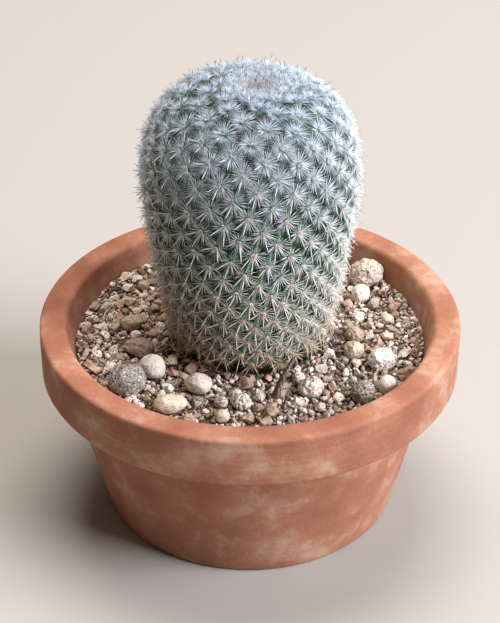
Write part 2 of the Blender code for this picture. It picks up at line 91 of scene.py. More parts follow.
def add(tree, kind, inputs, stops=(), **settings):
    """Adds a node with its settings, its inputs and, for a colour ramp, its stops."""
    node = tree.nodes.new("ShaderNode" + kind)
    for name, value in settings.items():
        setattr(node, name, value)
    if stops:
        elements = node.color_ramp.elements
        while len(elements) < len(stops):
            elements.new(1)
        for element, (place, code) in zip(elements, stops):
            element.position = place
            element.color = colour(code)
    feed(tree, node, inputs)
    return node


def new_material(name, roughness):
    """A Principled material, its node tree, its shader and the object coordinates, in metres."""
    made = bpy.data.materials.new(name)
    made.use_nodes = True
    tree = made.node_tree
    shader = tree.nodes["Principled BSDF"]
    shader.inputs["Roughness"].default_value = roughness
    where = add(tree, "TexCoord", {}).outputs["Object"]
    print("material", name, "of roughness", roughness)
    return made, tree, shader, where


print("white is", colour("#ffffff"), "and mid grey", round(colour("#808080")[0], 3))

# %% [markdown]
# ## Making a piece
# Every mesh is built in a bmesh. A repeated shape is made once as a template mesh, and copies of it are
# stamped where they belong, because that is far quicker than building each one anew. Round things are
# turned, as a potter would: a profile goes full circle round the upright axis.

# %% Helpers for pieces
LONG_EDGE = 6 * MM
MERGE_DISTANCE = 0.001 * MM


def piece(name, bm, finish, slot, *stands_for, crease=None):
    """An object of a bmesh that rides on the body, with sharp edges where it turns by the crease."""
    mesh = template(name, bm)
    mesh.materials.append(finish)
    mesh.shade_smooth()
    if crease:
        mesh.set_sharp_from_angle(angle=crease)
    made = bpy.data.objects.new(name, mesh)
    bpy.context.scene.collection.objects.link(made)
    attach(made, "root")
    if stands_for:
        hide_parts(*stands_for)
    print(name, sum(len(face.vertices) - 2 for face in mesh.polygons), "triangles")
    return made


def template(name, bm):
    """Keeps a bmesh as a mesh, which can be stamped."""
    mesh = bpy.data.meshes.new(name)
    bm.to_mesh(mesh)
    bm.free()
    return mesh


def stamp(bm, mesh, place, tone=None):
    """Adds a copy of a template, moved by a matrix, with one tone all over it if one is given."""
    copy = mesh.copy()
    copy.transform(place)
    if tone is not None:
        copy.attributes["tone"].data.foreach_set("value", [tone] * len(copy.vertices))
    bm.from_mesh(copy)
    bpy.data.meshes.remove(copy)


def cut_across(bm, point, normal):
    """Cuts the whole mesh along a plane, and keeps both sides."""
    whole = bm.verts[:] + bm.edges[:] + bm.faces[:]
    bmesh.ops.bisect_plane(bm, geom=whole, plane_co=point, plane_no=normal)


def turned(points, steps, cuts=0):
    """A closed profile of (radius, height) points, its long edges cut, turned full circle."""
    bm = bmesh.new()
    loop = [bm.verts.new((radius, 0, height)) for radius, height in points]
    edges = [bm.edges.new(pair) for pair in zip(loop, loop[1:] + loop[:1])]
    if cuts:
        long_edges = [edge for edge in edges if edge.calc_length() > LONG_EDGE]
        bmesh.ops.subdivide_edges(bm, edges=long_edges, cuts=cuts)
    bmesh.ops.spin(
        bm, geom=bm.verts[:] + bm.edges[:], axis=(0, 0, 1), cent=(0, 0, 0), angle=2 * pi,
        steps=steps, use_merge=True,
    )
    bmesh.ops.remove_doubles(bm, verts=bm.verts, dist=MERGE_DISTANCE)
    bmesh.ops.recalc_face_normals(bm, faces=bm.faces)
    return bm


# %% [markdown]
# ## Where the areoles stand
# A cactus sets each new tubercle at the golden angle from the last, 137.5 degrees round, so the
# tubercles line up in spirals: here 13 climb to the right and 21 to the left. The stem's outline is
# walked by its length, and after each areole the walk moves on by the skin area that one takes.

# %% The stem's outline
GRIT_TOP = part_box("pot")[1].z - 6 * MM
STEM_RADIUS = 27.2 * MM
STEM_FOOT_RADIUS = 20 * MM
SHOULDER_HEIGHT = 48 * MM
CROWN_RISE = 26 * MM
CROWN_SQUARENESS = 2.7  # 2 is round, and more is squarer
FOOT_TAPER = 1.3
CROWN_SHIFT = 2.2 * MM  # the crown leans this far to the right
CROWN_SHIFT_ZONE = 15 * MM
DIMPLE_DEPTH = 2.2 * MM
DIMPLE_RADIUS = 7 * MM
FOOT_RING = (18.8 * MM, 1.5 * MM)  # its radius, and its depth in the grit
LEAST_RADIUS = 0.1 * MM  # latitudes are worked out no nearer to the axis
SIDE_STEPS = 60
CROWN_STEPS = 80


def stem_outline():
    """Points (radius, height over the grit) over the tubercles' tips, from the foot to the crown."""
    side = []
    for z in np.linspace(0, SHOULDER_HEIGHT, SIDE_STEPS):
        share = (SHOULDER_HEIGHT - z) / SHOULDER_HEIGHT
        side.append((STEM_RADIUS - (STEM_RADIUS - STEM_FOOT_RADIUS) * share**FOOT_TAPER, z))
    crown = []
    for t in np.linspace(0, pi / 2, CROWN_STEPS)[1:]:
        radius = STEM_RADIUS * max(cos(t), 0) ** (2 / CROWN_SQUARENESS)
        z = SHOULDER_HEIGHT + CROWN_RISE * sin(t) ** (2 / CROWN_SQUARENESS)
        crown.append((radius, z - DIMPLE_DEPTH * exp(-((radius / DIMPLE_RADIUS) ** 2))))
    return np.array([(FOOT_RING[0], -FOOT_RING[1])] + side + crown)


class Outline:
    """The stem's outline by its length, with the matching latitude on a unit sphere."""

    def __init__(self):
        points = stem_outline()
        steps = np.hypot(*np.diff(points, axis=0).T)
        self.radii, self.heights = points.T
        self.lengths = np.concatenate([[0], np.cumsum(steps)])
        middle_radii = np.maximum((self.radii[1:] + self.radii[:-1]) / 2, LEAST_RADIUS)
        latitudes = np.concatenate([[0], np.cumsum(steps / middle_radii)])
        shoulder = np.interp(self.length_at(SHOULDER_HEIGHT), self.lengths, latitudes)
        self.latitudes = latitudes - shoulder

    def length_at(self, height):
        side = slice(0, SIDE_STEPS + 1)
        return float(np.interp(height, self.heights[side], self.lengths[side]))

    def at(self, length):
        radius = float(np.interp(length, self.lengths, self.radii))
        return radius, float(np.interp(length, self.lengths, self.heights))

    def place(self, length, angle):
        """The point on the tips' surface, and the outward normal there."""
        radius, height = self.at(length)
        before, after = self.at(length - MM), self.at(length + MM)
        rising = Vector((after[0] - before[0], after[1] - before[1])).normalized()
        normal = Vector((rising.y * cos(angle), rising.y * sin(angle), -rising.x))
        on_crown = height > SHOULDER_HEIGHT and radius < CROWN_SHIFT_ZONE
        shift = CROWN_SHIFT * (1 - (radius / CROWN_SHIFT_ZONE) ** 2) if on_crown else 0
        return Vector((radius * cos(angle) + shift, radius * sin(angle), height)), normal

    def on_sphere(self, length, angle):
        """The same point on a sphere, where neighbours on the stem are still neighbours."""
        latitude = float(np.interp(length, self.lengths, self.latitudes))
        ring = 1 / cosh(latitude)
        return Vector((ring * cos(angle), ring * sin(angle), tanh(latitude)))


outline = Outline()
print("the outline is", round(outline.lengths[-1] / MM, 1), "mm long")

# %% The spiral of areoles
GOLDEN_ANGLE = radians(137.508)
SPIRAL_PHASE = radians(206.2)
FIRST_AREOLE = 3 * MM
AREOLE_AREA = 33.3 * MM * MM
FOOT_AREA = 18.7 * MM * MM
FOOT_ZONE = (10 * MM, 44.8 * MM)
CROWN_ZONE = 13 * MM
CROWN_CROWDING = 1.6
CROWN_CENTRE = 2.3 * MM  # the innermost tubercle
GROWING_POINT = 0.7 * MM  # the innermost spines


def areole_area(radius, height):
    """Skin area of one tubercle: less at the dried foot, and less and less in the crown."""
    if height > SHOULDER_HEIGHT and radius < CROWN_ZONE:
        return AREOLE_AREA * (radius / CROWN_ZONE) ** CROWN_CROWDING
    return float(np.interp(height, FOOT_ZONE, (FOOT_AREA, AREOLE_AREA)))


def spacing_of(area):
    """Distance between neighbours in a lattice of triangles."""
    return sqrt(area * 2 / sqrt(3))


def areoles(innermost):
    """(length along the outline, angle, distance to its neighbours) from the lowest areole up."""
    length = outline.length_at(FIRST_AREOLE)
    angle = SPIRAL_PHASE
    found = []
    while True:
        radius, height = outline.at(length)
        if height > SHOULDER_HEIGHT and radius < innermost:
            return found
        area = areole_area(radius, height)
        found.append((length, angle, spacing_of(area)))
        length += area / (2 * pi * radius)
        angle -= GOLDEN_ANGLE


tubercle_spots = areoles(CROWN_CENTRE)
spine_spots = areoles(GROWING_POINT)
print(len(tubercle_spots), "tubercles and", len(spine_spots), "tufts of spines")

# %% [markdown]
# ## The stem's skin
# Under its spines the stem is deep green and waxy. Its green is darkened to almost black in the clefts
# as a painted shade where little light falls, and is lightest on the tubercles' tips. The tubercles
# keep a value from 0 in the cleft to 1 at the tip, and the colour follows that value, so that it sits
# right on every one of them. The skin just over the grit is coloured dark brown.

# %% Skin material
NOISE_ON_SKIN = 2.5 * MM
BROWN_FOOT_HEIGHT = 4 * MM  # over the grit, where the dark brown gives way to green


def waxy_skin():
    """Living skin under a thin bloom of wax, which gives a soft gloss and bluish patches."""
    made, tree, shader, where = new_material("waxy_cactus_skin", 0.42)
    rise = add(tree, "Attribute", {}, attribute_name="rise").outputs["Fac"]
    # painted shade: the green goes almost black in the clefts and is lightest on the tubercles' tips
    cleft_shaded = add(
        tree, "ValToRGB", {"Fac": rise},
        [(0, "#07120a"), (0.45, "#1b3d20"), (0.8, "#28522d"), (1, "#355f39")],
    )
    blotch = add(tree, "TexNoise", {"Vector": where, "Scale": 1 / NOISE_ON_SKIN, "Detail": 3.0})
    waxed = add(tree, "MapRange", {0: blotch, 1: 0.4, 2: 0.75, 3: 0.0, 4: 0.45})
    bluish = add(tree, "Mix", {0: waxed, 6: cleft_shaded, 7: "#36604f"}, **COLOURS)
    height = add(tree, "SeparateXYZ", {"Vector": where}).outputs["Z"]
    # the skin's lowest few millimetres over the grit are coloured dark brown
    green_from = GRIT_TOP + BROWN_FOOT_HEIGHT
    dried = add(tree, "MapRange", {0: height, 1: GRIT_TOP, 2: green_from, 3: 1.0, 4: 0.0})
    browned_foot = add(tree, "Mix", {0: dried, 6: bluish, 7: "#3c2d20"}, **COLOURS)
    bump = add(tree, "Bump", {"Height": blotch, "Strength": 0.3, "Distance": 0.2 * MM})
    feed(tree, shader, {"Base Color": browned_foot, "Normal": bump})
    return made


skin_material = waxy_skin()

# %% [markdown]
# The skin is made as a net of cells, one round each areole. The areoles are set on a sphere and wrapped
# in a convex hull, whose triangles join true neighbours. Turning that net inside out gives one
# many-sided cell for each areole. Each cell is then extruded to a tubercle, and a Subdivision Surface
# modifier rounds them all off.

# %% Cells
TUBERCLE_SHARE = 0.62  # height of a tubercle as a share of the distance between two
TUBERCLE_MOST = 3.8 * MM
FOOT_SIDES = 16


def faces_round(vert):
    """The faces at a vertex, in order."""
    first = loop = vert.link_loops[0]
    found = []
    while True:
        found.append(loop.face)
        loop = loop.link_loop_prev.link_loop_radial_next
        if loop == first:
            return found


def net_of_cells():
    """The skin as one face for each areole, with the face under the foot last."""
    sphere = bmesh.new()
    number = sphere.verts.layers.int.new("number")
    spots = []
    net = [(*spot, min(TUBERCLE_MOST, TUBERCLE_SHARE * spot[2])) for spot in tubercle_spots]
    net += [(0, 2 * pi * side / FOOT_SIDES, 0, 0) for side in range(FOOT_SIDES)]
    for length, angle, _, depth in net:
        vert = sphere.verts.new(outline.on_sphere(length, angle))
        vert[number] = len(spots)
        spots.append((*outline.place(length, angle), depth))
    under = sphere.verts.new((0, 0, -1))
    under[number] = len(spots)
    spots.append((Vector((0, 0, -FOOT_RING[1])), Vector((0, 0, -1)), 0))
    bmesh.ops.convex_hull(sphere, input=sphere.verts[:])
    skin = bmesh.new()
    clefts = {}
    for face in sphere.faces:
        near = [spots[vert[number]] for vert in face.verts]
        middle = sum((tip for tip, _, _ in near), Vector()) / 3
        normal = sum((normal for _, normal, _ in near), Vector()).normalized()
        clefts[face] = skin.verts.new(middle - normal * sum(depth for _, _, depth in near) / 3)
    cells = {}
    for vert in sphere.verts:
        cells[vert[number]] = skin.faces.new([clefts[face] for face in faces_round(vert)])
    sphere.free()
    bmesh.ops.recalc_face_normals(skin, faces=skin.faces)
    return skin, cells


# %% Tubercles and root
TIP_SHARE = 0.3  # width of a tubercle's blunt tip as a share of the distance between two
TIP_LIFT = 0.1  # the modifier draws the tips down, so they start this share of the distance higher
SKIN_LEVELS = 2
ROOT = [  # radius and depth
    (13.5 * MM, 5 * MM),
    (12 * MM, 10 * MM),
    (7.5 * MM, 15 * MM),
    (4.5 * MM, 20 * MM),
    (2.5 * MM, 26 * MM),
]


def on_stem(name, bm, finish, *stands_for):
    """A piece of the plant, lifted from heights over the grit to heights over the pan's base."""
    bmesh.ops.translate(bm, vec=(0, 0, GRIT_TOP), verts=bm.verts)
    return piece(name, bm, finish, "spined_skin", *stands_for)


def raise_tubercle(skin, cell, tip, normal, spacing, rise):
    """Extrudes a cell and draws its top in round the areole, where its rise is 1."""
    top = bmesh.ops.extrude_discrete_faces(skin, faces=[cell])["faces"][0]
    middle = top.calc_center_median()
    for vert in top.verts:
        out = vert.co - middle
        out -= normal * out.dot(normal)
        vert.co = tip + out.normalized() * TIP_SHARE * spacing + normal * TIP_LIFT * spacing
        vert[rise] = 1


def build_stem():
    skin, cells = net_of_cells()
    rise = skin.verts.layers.float.new("rise")
    for index, (length, angle, spacing) in enumerate(tubercle_spots):
        tip, normal = outline.place(length, angle)
        raise_tubercle(skin, cells[index], tip, normal, spacing, rise)
    cell = cells[len(tubercle_spots) + FOOT_SIDES]
    for radius, depth in ROOT:
        cell = bmesh.ops.extrude_discrete_faces(skin, faces=[cell])["faces"][0]
        for vert in cell.verts:
            vert.co = (*(vert.co.xy.normalized() * radius), -depth)
    stem = on_stem("stem", skin, skin_material, "mammillaria")
    rounding = stem.modifiers.new("rounded", "SUBSURF")
    rounding.levels = rounding.render_levels = SKIN_LEVELS


build_stem()

# %% [markdown]
# ## Spines
# Each areole bears forty or more fine white bristles: an outer star of long ones that lie almost flat,
# and a shorter tuft that stands up inside it. Out of the middle reach two long, stout central spines
# and two shorter ones.
# In the crown the bristles are packed and erect, and the young centrals have dark brown tips. Old
# spines at the foot have turned tan, and the crown's bristles are tinted bluish grey as a painted cool
# sky light. A bristle is about 0.1 mm thick, thinner than a pixel here, so it is drawn at nearly twice
# that.

# %% Spine materials
AGE_AND_SKY_HEIGHTS = (GRIT_TOP, GRIT_TOP + 74 * MM)  # from the oldest spines at the foot to the crown
YOUNG_REACH = 6 * MM  # brownish spines lie this near to the growing point
# tan where old spines have aged at the foot, white on the sides, and bluish grey in the crown as a
# painted cool sky light
SHAFT_BY_AGE_AND_SKY = [
    (0, "#bf9f74"), (0.05, "#dac7a8"), (0.15, "#ebe3d8"), (0.5, "#ecf0f2"), (0.85, "#d3dee7"),
    (1, "#b8c7d6"),
]


def spine_material(name, by_length, length_colours, young):
    """Hard, smooth horn with a soft gloss.

    It is coloured by height on the stem, tan where aged and with a painted bluish sky light at the
    crown, then from root to tip, and browner at the crown's middle.
    """
    made, tree, shader, where = new_material(name, 0.42)
    height = add(tree, "SeparateXYZ", {"Vector": where}).outputs["Z"]
    low, high = AGE_AND_SKY_HEIGHTS
    age_and_sky = add(tree, "MapRange", {0: height, 1: low, 2: high, 3: 0.0, 4: 1.0})
    # by height: aged tan at the foot, painted cool sky light in the crown
    aged_and_sky_tinted = add(tree, "ValToRGB", {"Fac": age_and_sky}, SHAFT_BY_AGE_AND_SKY)
    along = add(tree, "Attribute", {}, attribute_name="along").outputs["Fac"]
    tinted = add(tree, "ValToRGB", {"Fac": along}, length_colours)
    share = add(tree, "ValToRGB", {"Fac": along}, by_length)
    shaft = add(tree, "Mix", {0: share, 6: aged_and_sky_tinted, 7: tinted}, **COLOURS)
    middle = {"Vector": where, "Location": (-CROWN_SHIFT, 0, 0), "Scale": (1, 1, 0)}
    flat = add(tree, "Mapping", middle)
    away = add(tree, "VectorMath", {0: flat}, operation="LENGTH")
    near = add(tree, "MapRange", {0: away, 1: 1.0 * MM, 2: YOUNG_REACH, 3: 1.0, 4: 0.0})
    browned = add(tree, "MapRange", {0: along, 1: 0.3, 2: 1.0, 3: 0.1, 4: young})
    brownness = add(tree, "Math", {0: near, 1: browned}, operation="MULTIPLY")
    final = add(tree, "Mix", {0: brownness, 6: shaft, 7: "#6e5848"}, **COLOURS)
    feed(tree, shader, {"Base Color": final})
    return made


# each share is a grey from black, the shaft's own colour, to white, the colour for that length
bristle_material = spine_material(
    "bristle",
    by_length=[(0, "#a8a8a8"), (0.14, "#484848"), (0.3, "#000000"), (1, "#000000")],
    length_colours=[(0, "#bd9f8e"), (0.3, "#d6c6bc"), (1, "#ffffff")],
    young=0.72,
)
side_central_material = spine_material(
    "central_spine",
    by_length=[(0, "#707070"), (0.15, "#000000"), (0.76, "#000000"), (0.88, "#ffffff"), (1, "#ffffff")],
    length_colours=[(0, "#b08560"), (0.76, "#c08348"), (0.88, "#9a4e28"), (1, "#4a2416")],
    young=0,
)
crown_central_material = spine_material(
    "young_central_spine",
    by_length=[(0, "#606060"), (0.15, "#000000"), (0.62, "#000000"), (0.74, "#ffffff"), (1, "#ffffff")],
    length_colours=[(0, "#a9744c"), (0.62, "#a8754c"), (0.74, "#4e2d20"), (1, "#1c100c")],
    young=0.8,
)

# %% One spine
NEAR_TIP = 0.99  # the taper is worked out up to here, because it has no value at the tip itself


def spine_template(name, bow, knees, bluntness):
    """A slim cone one unit long and one in radius, bowed towards +X, that knows how far along it is."""
    bm = bmesh.new()
    bmesh.ops.create_cone(bm, cap_ends=True, segments=3, radius1=1, radius2=0, depth=1)
    bmesh.ops.translate(bm, vec=(0, 0, 0.5), verts=bm.verts)
    for z in knees:
        cut_across(bm, (0, 0, z), (0, 0, 1))
    bmesh.ops.triangulate(bm, faces=bm.faces)
    along = bm.verts.layers.float.new("along")
    for vert in bm.verts:
        z = vert.co.z
        vert[along] = z
        if 0 < z < NEAR_TIP:
            vert.co.xy *= (1 - z**bluntness) / (1 - z)
        vert.co.x += bow * z**2
    return template(name, bm)


long_bristle = spine_template("long_bristle", bow=4, knees=(0.5,), bluntness=2)
short_bristle = spine_template("short_bristle", bow=0, knees=(), bluntness=1)
central_spine = spine_template("central", bow=0.6, knees=(0.55, 0.82), bluntness=3.5)
print("a long bristle has", len(long_bristle.polygons), "faces and a central spine",
      len(central_spine.polygons))


def along_line(root, end, towards, radius):
    """The matrix that lays a spine from root to end, bowed towards a direction."""
    z = end - root
    x = (towards - z * (towards.dot(z) / z.length_squared)).normalized()
    y = z.normalized().cross(x)
    return Matrix.Translation(root) @ Matrix((x * radius, y * radius, z)).transposed().to_4x4()


# %% Where a spine grows
YOUNG_ZONE = 22 * MM  # from this radius in, over the shoulder, the spines are younger and younger
LUSH_ZONE = (45 * MM, 69 * MM)  # along the outline, from here to here, the bristles get denser
ROOT_SINK = 0.3 * MM
LOWEST_SPINE = 1.2 * MM  # over the grit


def frame_at(length, angle):
    """Tip, normal, downward and sideways directions of an areole, and how young it is from 0 to 1."""
    tip, normal = outline.place(length, angle)
    down = Vector((0, 0, -1)) + normal * normal.z
    down.normalize()
    radius, height = outline.at(length)
    youth = max(0, 1 - radius / YOUNG_ZONE) if height > SHOULDER_HEIGHT else 0
    return tip, normal, down, normal.cross(down), youth


def lushness(length):
    """How dense the bristles are, from 0 low on the stem to 1 in the crown."""
    return float(np.interp(length, LUSH_ZONE, (0, 1)))


def between(share, ends):
    """A value from the first end, at share 0, to the second, at share 1."""
    return ends[0] + (ends[1] - ends[0]) * share


def grow(bm, mesh, areole, turn, rise, length, radius):
    """Stamps one spine, turned round its areole from straight down and tilted up by its rise."""
    tip, normal, down, side, _ = areole
    out = down * cos(turn) + side * sin(turn)
    root = tip - normal * ROOT_SINK + out * ROOT_SINK
    end = tip + out * length * cos(rise) + normal * length * sin(rise)
    end.z = max(end.z, LOWEST_SPINE)
    stamp(bm, mesh, along_line(root, end, -normal, radius))


print("lushness at the shoulder", round(lushness(outline.length_at(SHOULDER_HEIGHT)), 2))

# %% Bristles
BRISTLES = [
    # name, shape, seed, counts low on the stem and in the crown, and then, on the sides and in the
    # crown's middle, rises in degrees, with how far they wander, and lengths in mm
    ("outer_bristles", long_bristle, 7, (26, 44), (16, 66), 9, (4.1, 2.8)),
    ("inner_bristles", short_bristle, 8, (20, 38), (46, 80), 30, (2.3, 2.0)),
    ("lying_bristles", short_bristle, 9, (0, 44), (4, 40), 9, (5.2, 3)),
]
BRISTLE_RADIUS = 0.088 * MM
FOOT_LENGTH_SHARE = 0.88  # length of the lowest bristles as a share of the others'
TURN_JITTER = 0.35  # share of the step from one bristle to the next
LENGTH_JITTER = (-0.14, 0.06)
DOWNWARD_GAIN = 0.06  # bristles that point down are longer by this share, and upward ones shorter
RISE_POWER = 1.5  # the higher this is, the nearer to the crown's middle the bristles rise
REACH_POWER = 2  # and shorten


def build_bristles(name, shape, seed, counts, rises, wander, lengths):
    """One tuft of bristles on each areole, turned at random and spread evenly round it."""
    rng = random.Random(seed)
    bm = bmesh.new()
    for length, angle, _ in spine_spots:
        areole = frame_at(length, angle)
        height, youth = areole[0].z, areole[-1]
        count = round(between(lushness(length), counts))
        reach = between(youth**REACH_POWER, lengths)
        reach *= between(min(1, height / SHOULDER_HEIGHT), (FOOT_LENGTH_SHARE, 1))
        start = rng.uniform(0, 2 * pi)
        for i in range(count):
            turn = start + 2 * pi * (i + rng.uniform(-TURN_JITTER, TURN_JITTER)) / count
            rise = between(youth**RISE_POWER, rises) + rng.uniform(-1, 1) * wander
            longer = 1 + DOWNWARD_GAIN * cos(turn) + rng.uniform(*LENGTH_JITTER)
            grow(bm, shape, areole, turn, rise, reach * longer, BRISTLE_RADIUS)
    on_stem(name, bm, bristle_material)


for name, shape, seed, counts, rises, wander, lengths in BRISTLES:
    rises = [radians(rise) for rise in rises]
    lengths = [length * MM for length in lengths]
    build_bristles(name, shape, seed, counts, rises, radians(wander), lengths)

# %% Central spines
CENTRAL_RADIUS = (0.155 * MM, 0.13 * MM)  # low on the stem, and in the crown
CENTRALS = [  # direction round from straight down, rise, length
    (radians(-6), radians(28), 5.6 * MM),
    (radians(-66), radians(32), 5.0 * MM),
    (radians(158), radians(52), 3.4 * MM),
    (radians(52), radians(46), 3.6 * MM),
]
CENTRAL_TURN = 0.45  # most that one turns from its direction, in radians
CENTRAL_LENGTHS = (0.75, 1.1)  # shares of the usual length
CENTRAL_WANDER = (0.12, 0.42)  # of the rise, in radians, on the sides and in the crown
CROWN_CENTRAL_RISE = radians(66)
CROWN_CENTRAL_LENGTH = (3.9 * MM, 3.3 * MM)
CROWN_CENTRAL_SHARE = 0.87  # share of their length that they keep where the bristles are dense
ERECT_GAIN = 1.8  # the centrals are fully erect from a youth of 1 / 1.8 on
DARK_TIPPED = 0.12  # from this youth on, the centrals have dark tips


def build_centrals(name, finish, oldest, youngest):
    """The stout spines of all areoles whose youth lies in a range."""
    rng = random.Random(19)
    bm = bmesh.new()
    for length, angle, _ in spine_spots:
        areole = frame_at(length, angle)
        youth = areole[-1]
        lush = lushness(length)
        erect = min(1, ERECT_GAIN * youth)
        for turn, rise, reach in CENTRALS:
            turn += rng.uniform(-CENTRAL_TURN, CENTRAL_TURN)
            wander = between(erect, CENTRAL_WANDER)
            rise = between(erect, (rise, CROWN_CENTRAL_RISE)) + rng.uniform(-1, 1) * wander
            reach = between(erect, (reach, between(youth, CROWN_CENTRAL_LENGTH)))
            reach *= rng.uniform(*CENTRAL_LENGTHS) * between(lush, (1, CROWN_CENTRAL_SHARE))
            if oldest <= youth < youngest:
                radius = between(lush, CENTRAL_RADIUS)
                grow(bm, central_spine, areole, turn, rise, reach, radius)
    on_stem(name, bm, finish)


build_centrals("side_centrals", side_central_material, 0, DARK_TIPPED)
build_centrals("crown_centrals", crown_central_material, DARK_TIPPED, 1)

# %% [markdown]
# ## Wool on the areoles
# A little felt of short wool sits where the spines leave each areole. It is buff, with a middle that
# is brown on most and golden on some. One small lumpy pad, stamped on each tip, is enough at this
# size.

# %% Wool
WOOL_RADIUS = 0.8 * MM
WOOL_THICKNESS = 0.55 * MM
WOOL_SIZES = (0.75, 1.15)  # shares of the usual size
LUSH_WOOL = (1, 0.8)  # the pads' size low on the stem, and where dense bristles hide them
WOOL_MIDDLE_POWER = 5  # the higher this is, the smaller the coloured middle
WOOL_LUMP_HEIGHT = 0.25  # share of the pad
WOOL_LUMPS = 3  # in one radius of the pad
GOLDEN_PATCH = 6 * MM
WOOL_TUFT = 0.35 * MM


def wool_material():
    """Felt of short plant hairs, quite matt: buff, with a middle that is golden in some patches."""
    made, tree, shader, where = new_material("areole_wool_felt", 0.95)
    area = add(tree, "TexNoise", {"Vector": where, "Scale": 1 / GOLDEN_PATCH, "Detail": 1.0})
    golden = add(tree, "MapRange", {0: area, 1: 0.44, 2: 0.58, 3: 0.0, 4: 1.0})
    middle = add(tree, "Attribute", {}, attribute_name="middle").outputs["Fac"]
    tint = add(tree, "Mix", {0: golden, 6: "#91634a", 7: "#b57619"}, **COLOURS)
    tuft = add(tree, "TexNoise", {"Vector": where, "Scale": 1 / WOOL_TUFT, "Detail": 2.0})
    buff = add(
        tree, "ValToRGB", {"Fac": tuft}, [(0.36, "#a08577"), (0.48, "#cfc0b8"), (0.6, "#efebe9")]
    )
    shade = add(tree, "Mix", {0: middle, 6: buff, 7: tint}, **COLOURS)
    bump = add(tree, "Bump", {"Height": tuft, "Strength": 0.8, "Distance": 0.1 * MM})
    feed(tree, shader, {"Base Color": shade, "Normal": bump})
    return made


def wool_pad():
    """A flat lump, whose middle is marked from 0 at the rim to 1."""
    pad = bmesh.new()
    bmesh.ops.create_uvsphere(pad, u_segments=8, v_segments=4, radius=1)
    middle = pad.verts.layers.float.new("middle")
    for vert in pad.verts:
        vert[middle] = max(0, vert.co.z) ** WOOL_MIDDLE_POWER
        vert.co *= 1 + WOOL_LUMP_HEIGHT * noise.noise(vert.co * WOOL_LUMPS)
    return template("pad", pad)


def build_wool():
    rng = random.Random(3)
    pad = wool_pad()
    bm = bmesh.new()
    for length, angle, _ in spine_spots:
        tip, normal = outline.place(length, angle)
        size = rng.uniform(*WOOL_SIZES) * between(lushness(length), LUSH_WOOL)
        turn = Matrix.Rotation(rng.uniform(0, 2 * pi), 4, "Z")
        wide = WOOL_RADIUS * size
        scale = Matrix.Diagonal((wide, wide * rng.uniform(*WOOL_SIZES), WOOL_THICKNESS * size, 1))
        upright = normal.to_track_quat("Z", "Y").to_matrix().to_4x4()
        stamp(bm, pad, Matrix.Translation(tip) @ upright @ turn @ scale)
    on_stem("areole_wool", bm, wool_material())


build_wool()

# %% [markdown]
# ## Stone
# The grit is a mix: porous white pumice, rounded river stones in cream, tan and pink, a little dark
# lava, and flakes of bark. All of it is matt. Pumice and lava are frothed rock, so they are full of
# holes, and river stones are worn by water, so they are smoother, with few pores. They differ in
# colours, speckles and pores, so one recipe with settings for these makes all of them. Each stone has
# a tone of its own, which picks its colour from the mix.

# %% Stone materials
STONE_CLOUD = 3 * MM


def stone_material(name, mix, speckle, speckle_size, pale, pores, pore_size, roughness=0.9):
    """Stone whose tone picks a colour from the mix, with dark speckles, pale grains, and pores darkened
    as painted shade.
    """
    made, tree, shader, where = new_material(name, roughness)
    tone = add(tree, "Attribute", {}, attribute_name="tone").outputs["Fac"]
    own = add(tree, "ValToRGB", {"Fac": tone}, mix)
    cloud = add(tree, "TexNoise", {"Vector": where, "Scale": 1 / STONE_CLOUD, "Detail": 4.0})
    grain = add(tree, "TexNoise", {"Vector": where, "Scale": 1 / speckle_size, "Detail": 2.0})
    pore = add(tree, "TexVoronoi", {"Vector": where, "Scale": 1 / pore_size})
    shade = add(tree, "MapRange", {0: cloud, 1: 0.3, 2: 0.7, 3: 0.68, 4: 1.12})
    body = add(tree, "Mix", {0: 1.0, 6: own, 7: shade}, **PRODUCT)
    speckled = add(tree, "MapRange", {0: grain, 1: 0.58, 2: 0.63, 3: 0.0, 4: speckle})
    paled = add(tree, "MapRange", {0: grain, 1: 0.38, 2: 0.44, 3: pale, 4: 0.0})
    holes = add(tree, "MapRange", {0: pore, 1: 0.16, 2: 0.3, 3: pores, 4: 0.0})
    # the last mix paints shade into the pores
    for share, tint in ((paled, "#e6dccf"), (speckled, "#4b4038"), (holes, "#2f2620")):
        body = add(tree, "Mix", {0: share, 6: body, 7: tint}, **COLOURS)
    depth = add(tree, "Math", {0: grain, 1: holes}, operation="SUBTRACT")
    bump = add(tree, "Bump", {"Height": depth, "Strength": 0.7, "Distance": 0.25 * MM})
    feed(tree, shader, {"Base Color": body, "Normal": bump})
    return made


STONE_KINDS = {
    "pumice": stone_material(
        "white_pumice",
        [(0, "#f8f1e8"), (0.3, "#e9dcd0"), (0.5, "#d6c4b6"), (0.7, "#f3e5d6"), (0.85, "#c9b7ab"),
         (1, "#dcc0a9")],
        speckle=0.8, speckle_size=0.42 * MM, pale=0.3, pores=0.85, pore_size=0.9 * MM,
    ),
    "river": stone_material(
        "river_stone",
        [(0, "#ead9cb"), (0.15, "#cbb59d"), (0.35, "#a98f7e"), (0.5, "#cfa893"), (0.65, "#907666"),
         (0.8, "#b89f8c"), (0.9, "#a39c91"), (1, "#f8e8dd")],
        speckle=0.5, speckle_size=0.35 * MM, pale=0.2, pores=0.3, pore_size=1.1 * MM, roughness=0.8,
    ),
    "lava": stone_material(
        "dark_lava",
        [(0, "#85807b"), (0.2, "#9a8f84"), (0.4, "#5f5650"), (0.6, "#7a5140"), (0.75, "#8d6554"),
         (0.9, "#4b4643"), (1, "#393634")],
        speckle=0.7, speckle_size=0.45 * MM, pale=0.55, pores=0.7, pore_size=0.9 * MM,
    ),
    "flake": stone_material(
        "bark_flake",
        [(0, "#4a3529"), (0.4, "#6e5341"), (0.7, "#8a6b55"), (1, "#3a2c25")],
        speckle=0.3, speckle_size=0.5 * MM, pale=0.1, pores=0, pore_size=1.0 * MM,
    ),
}

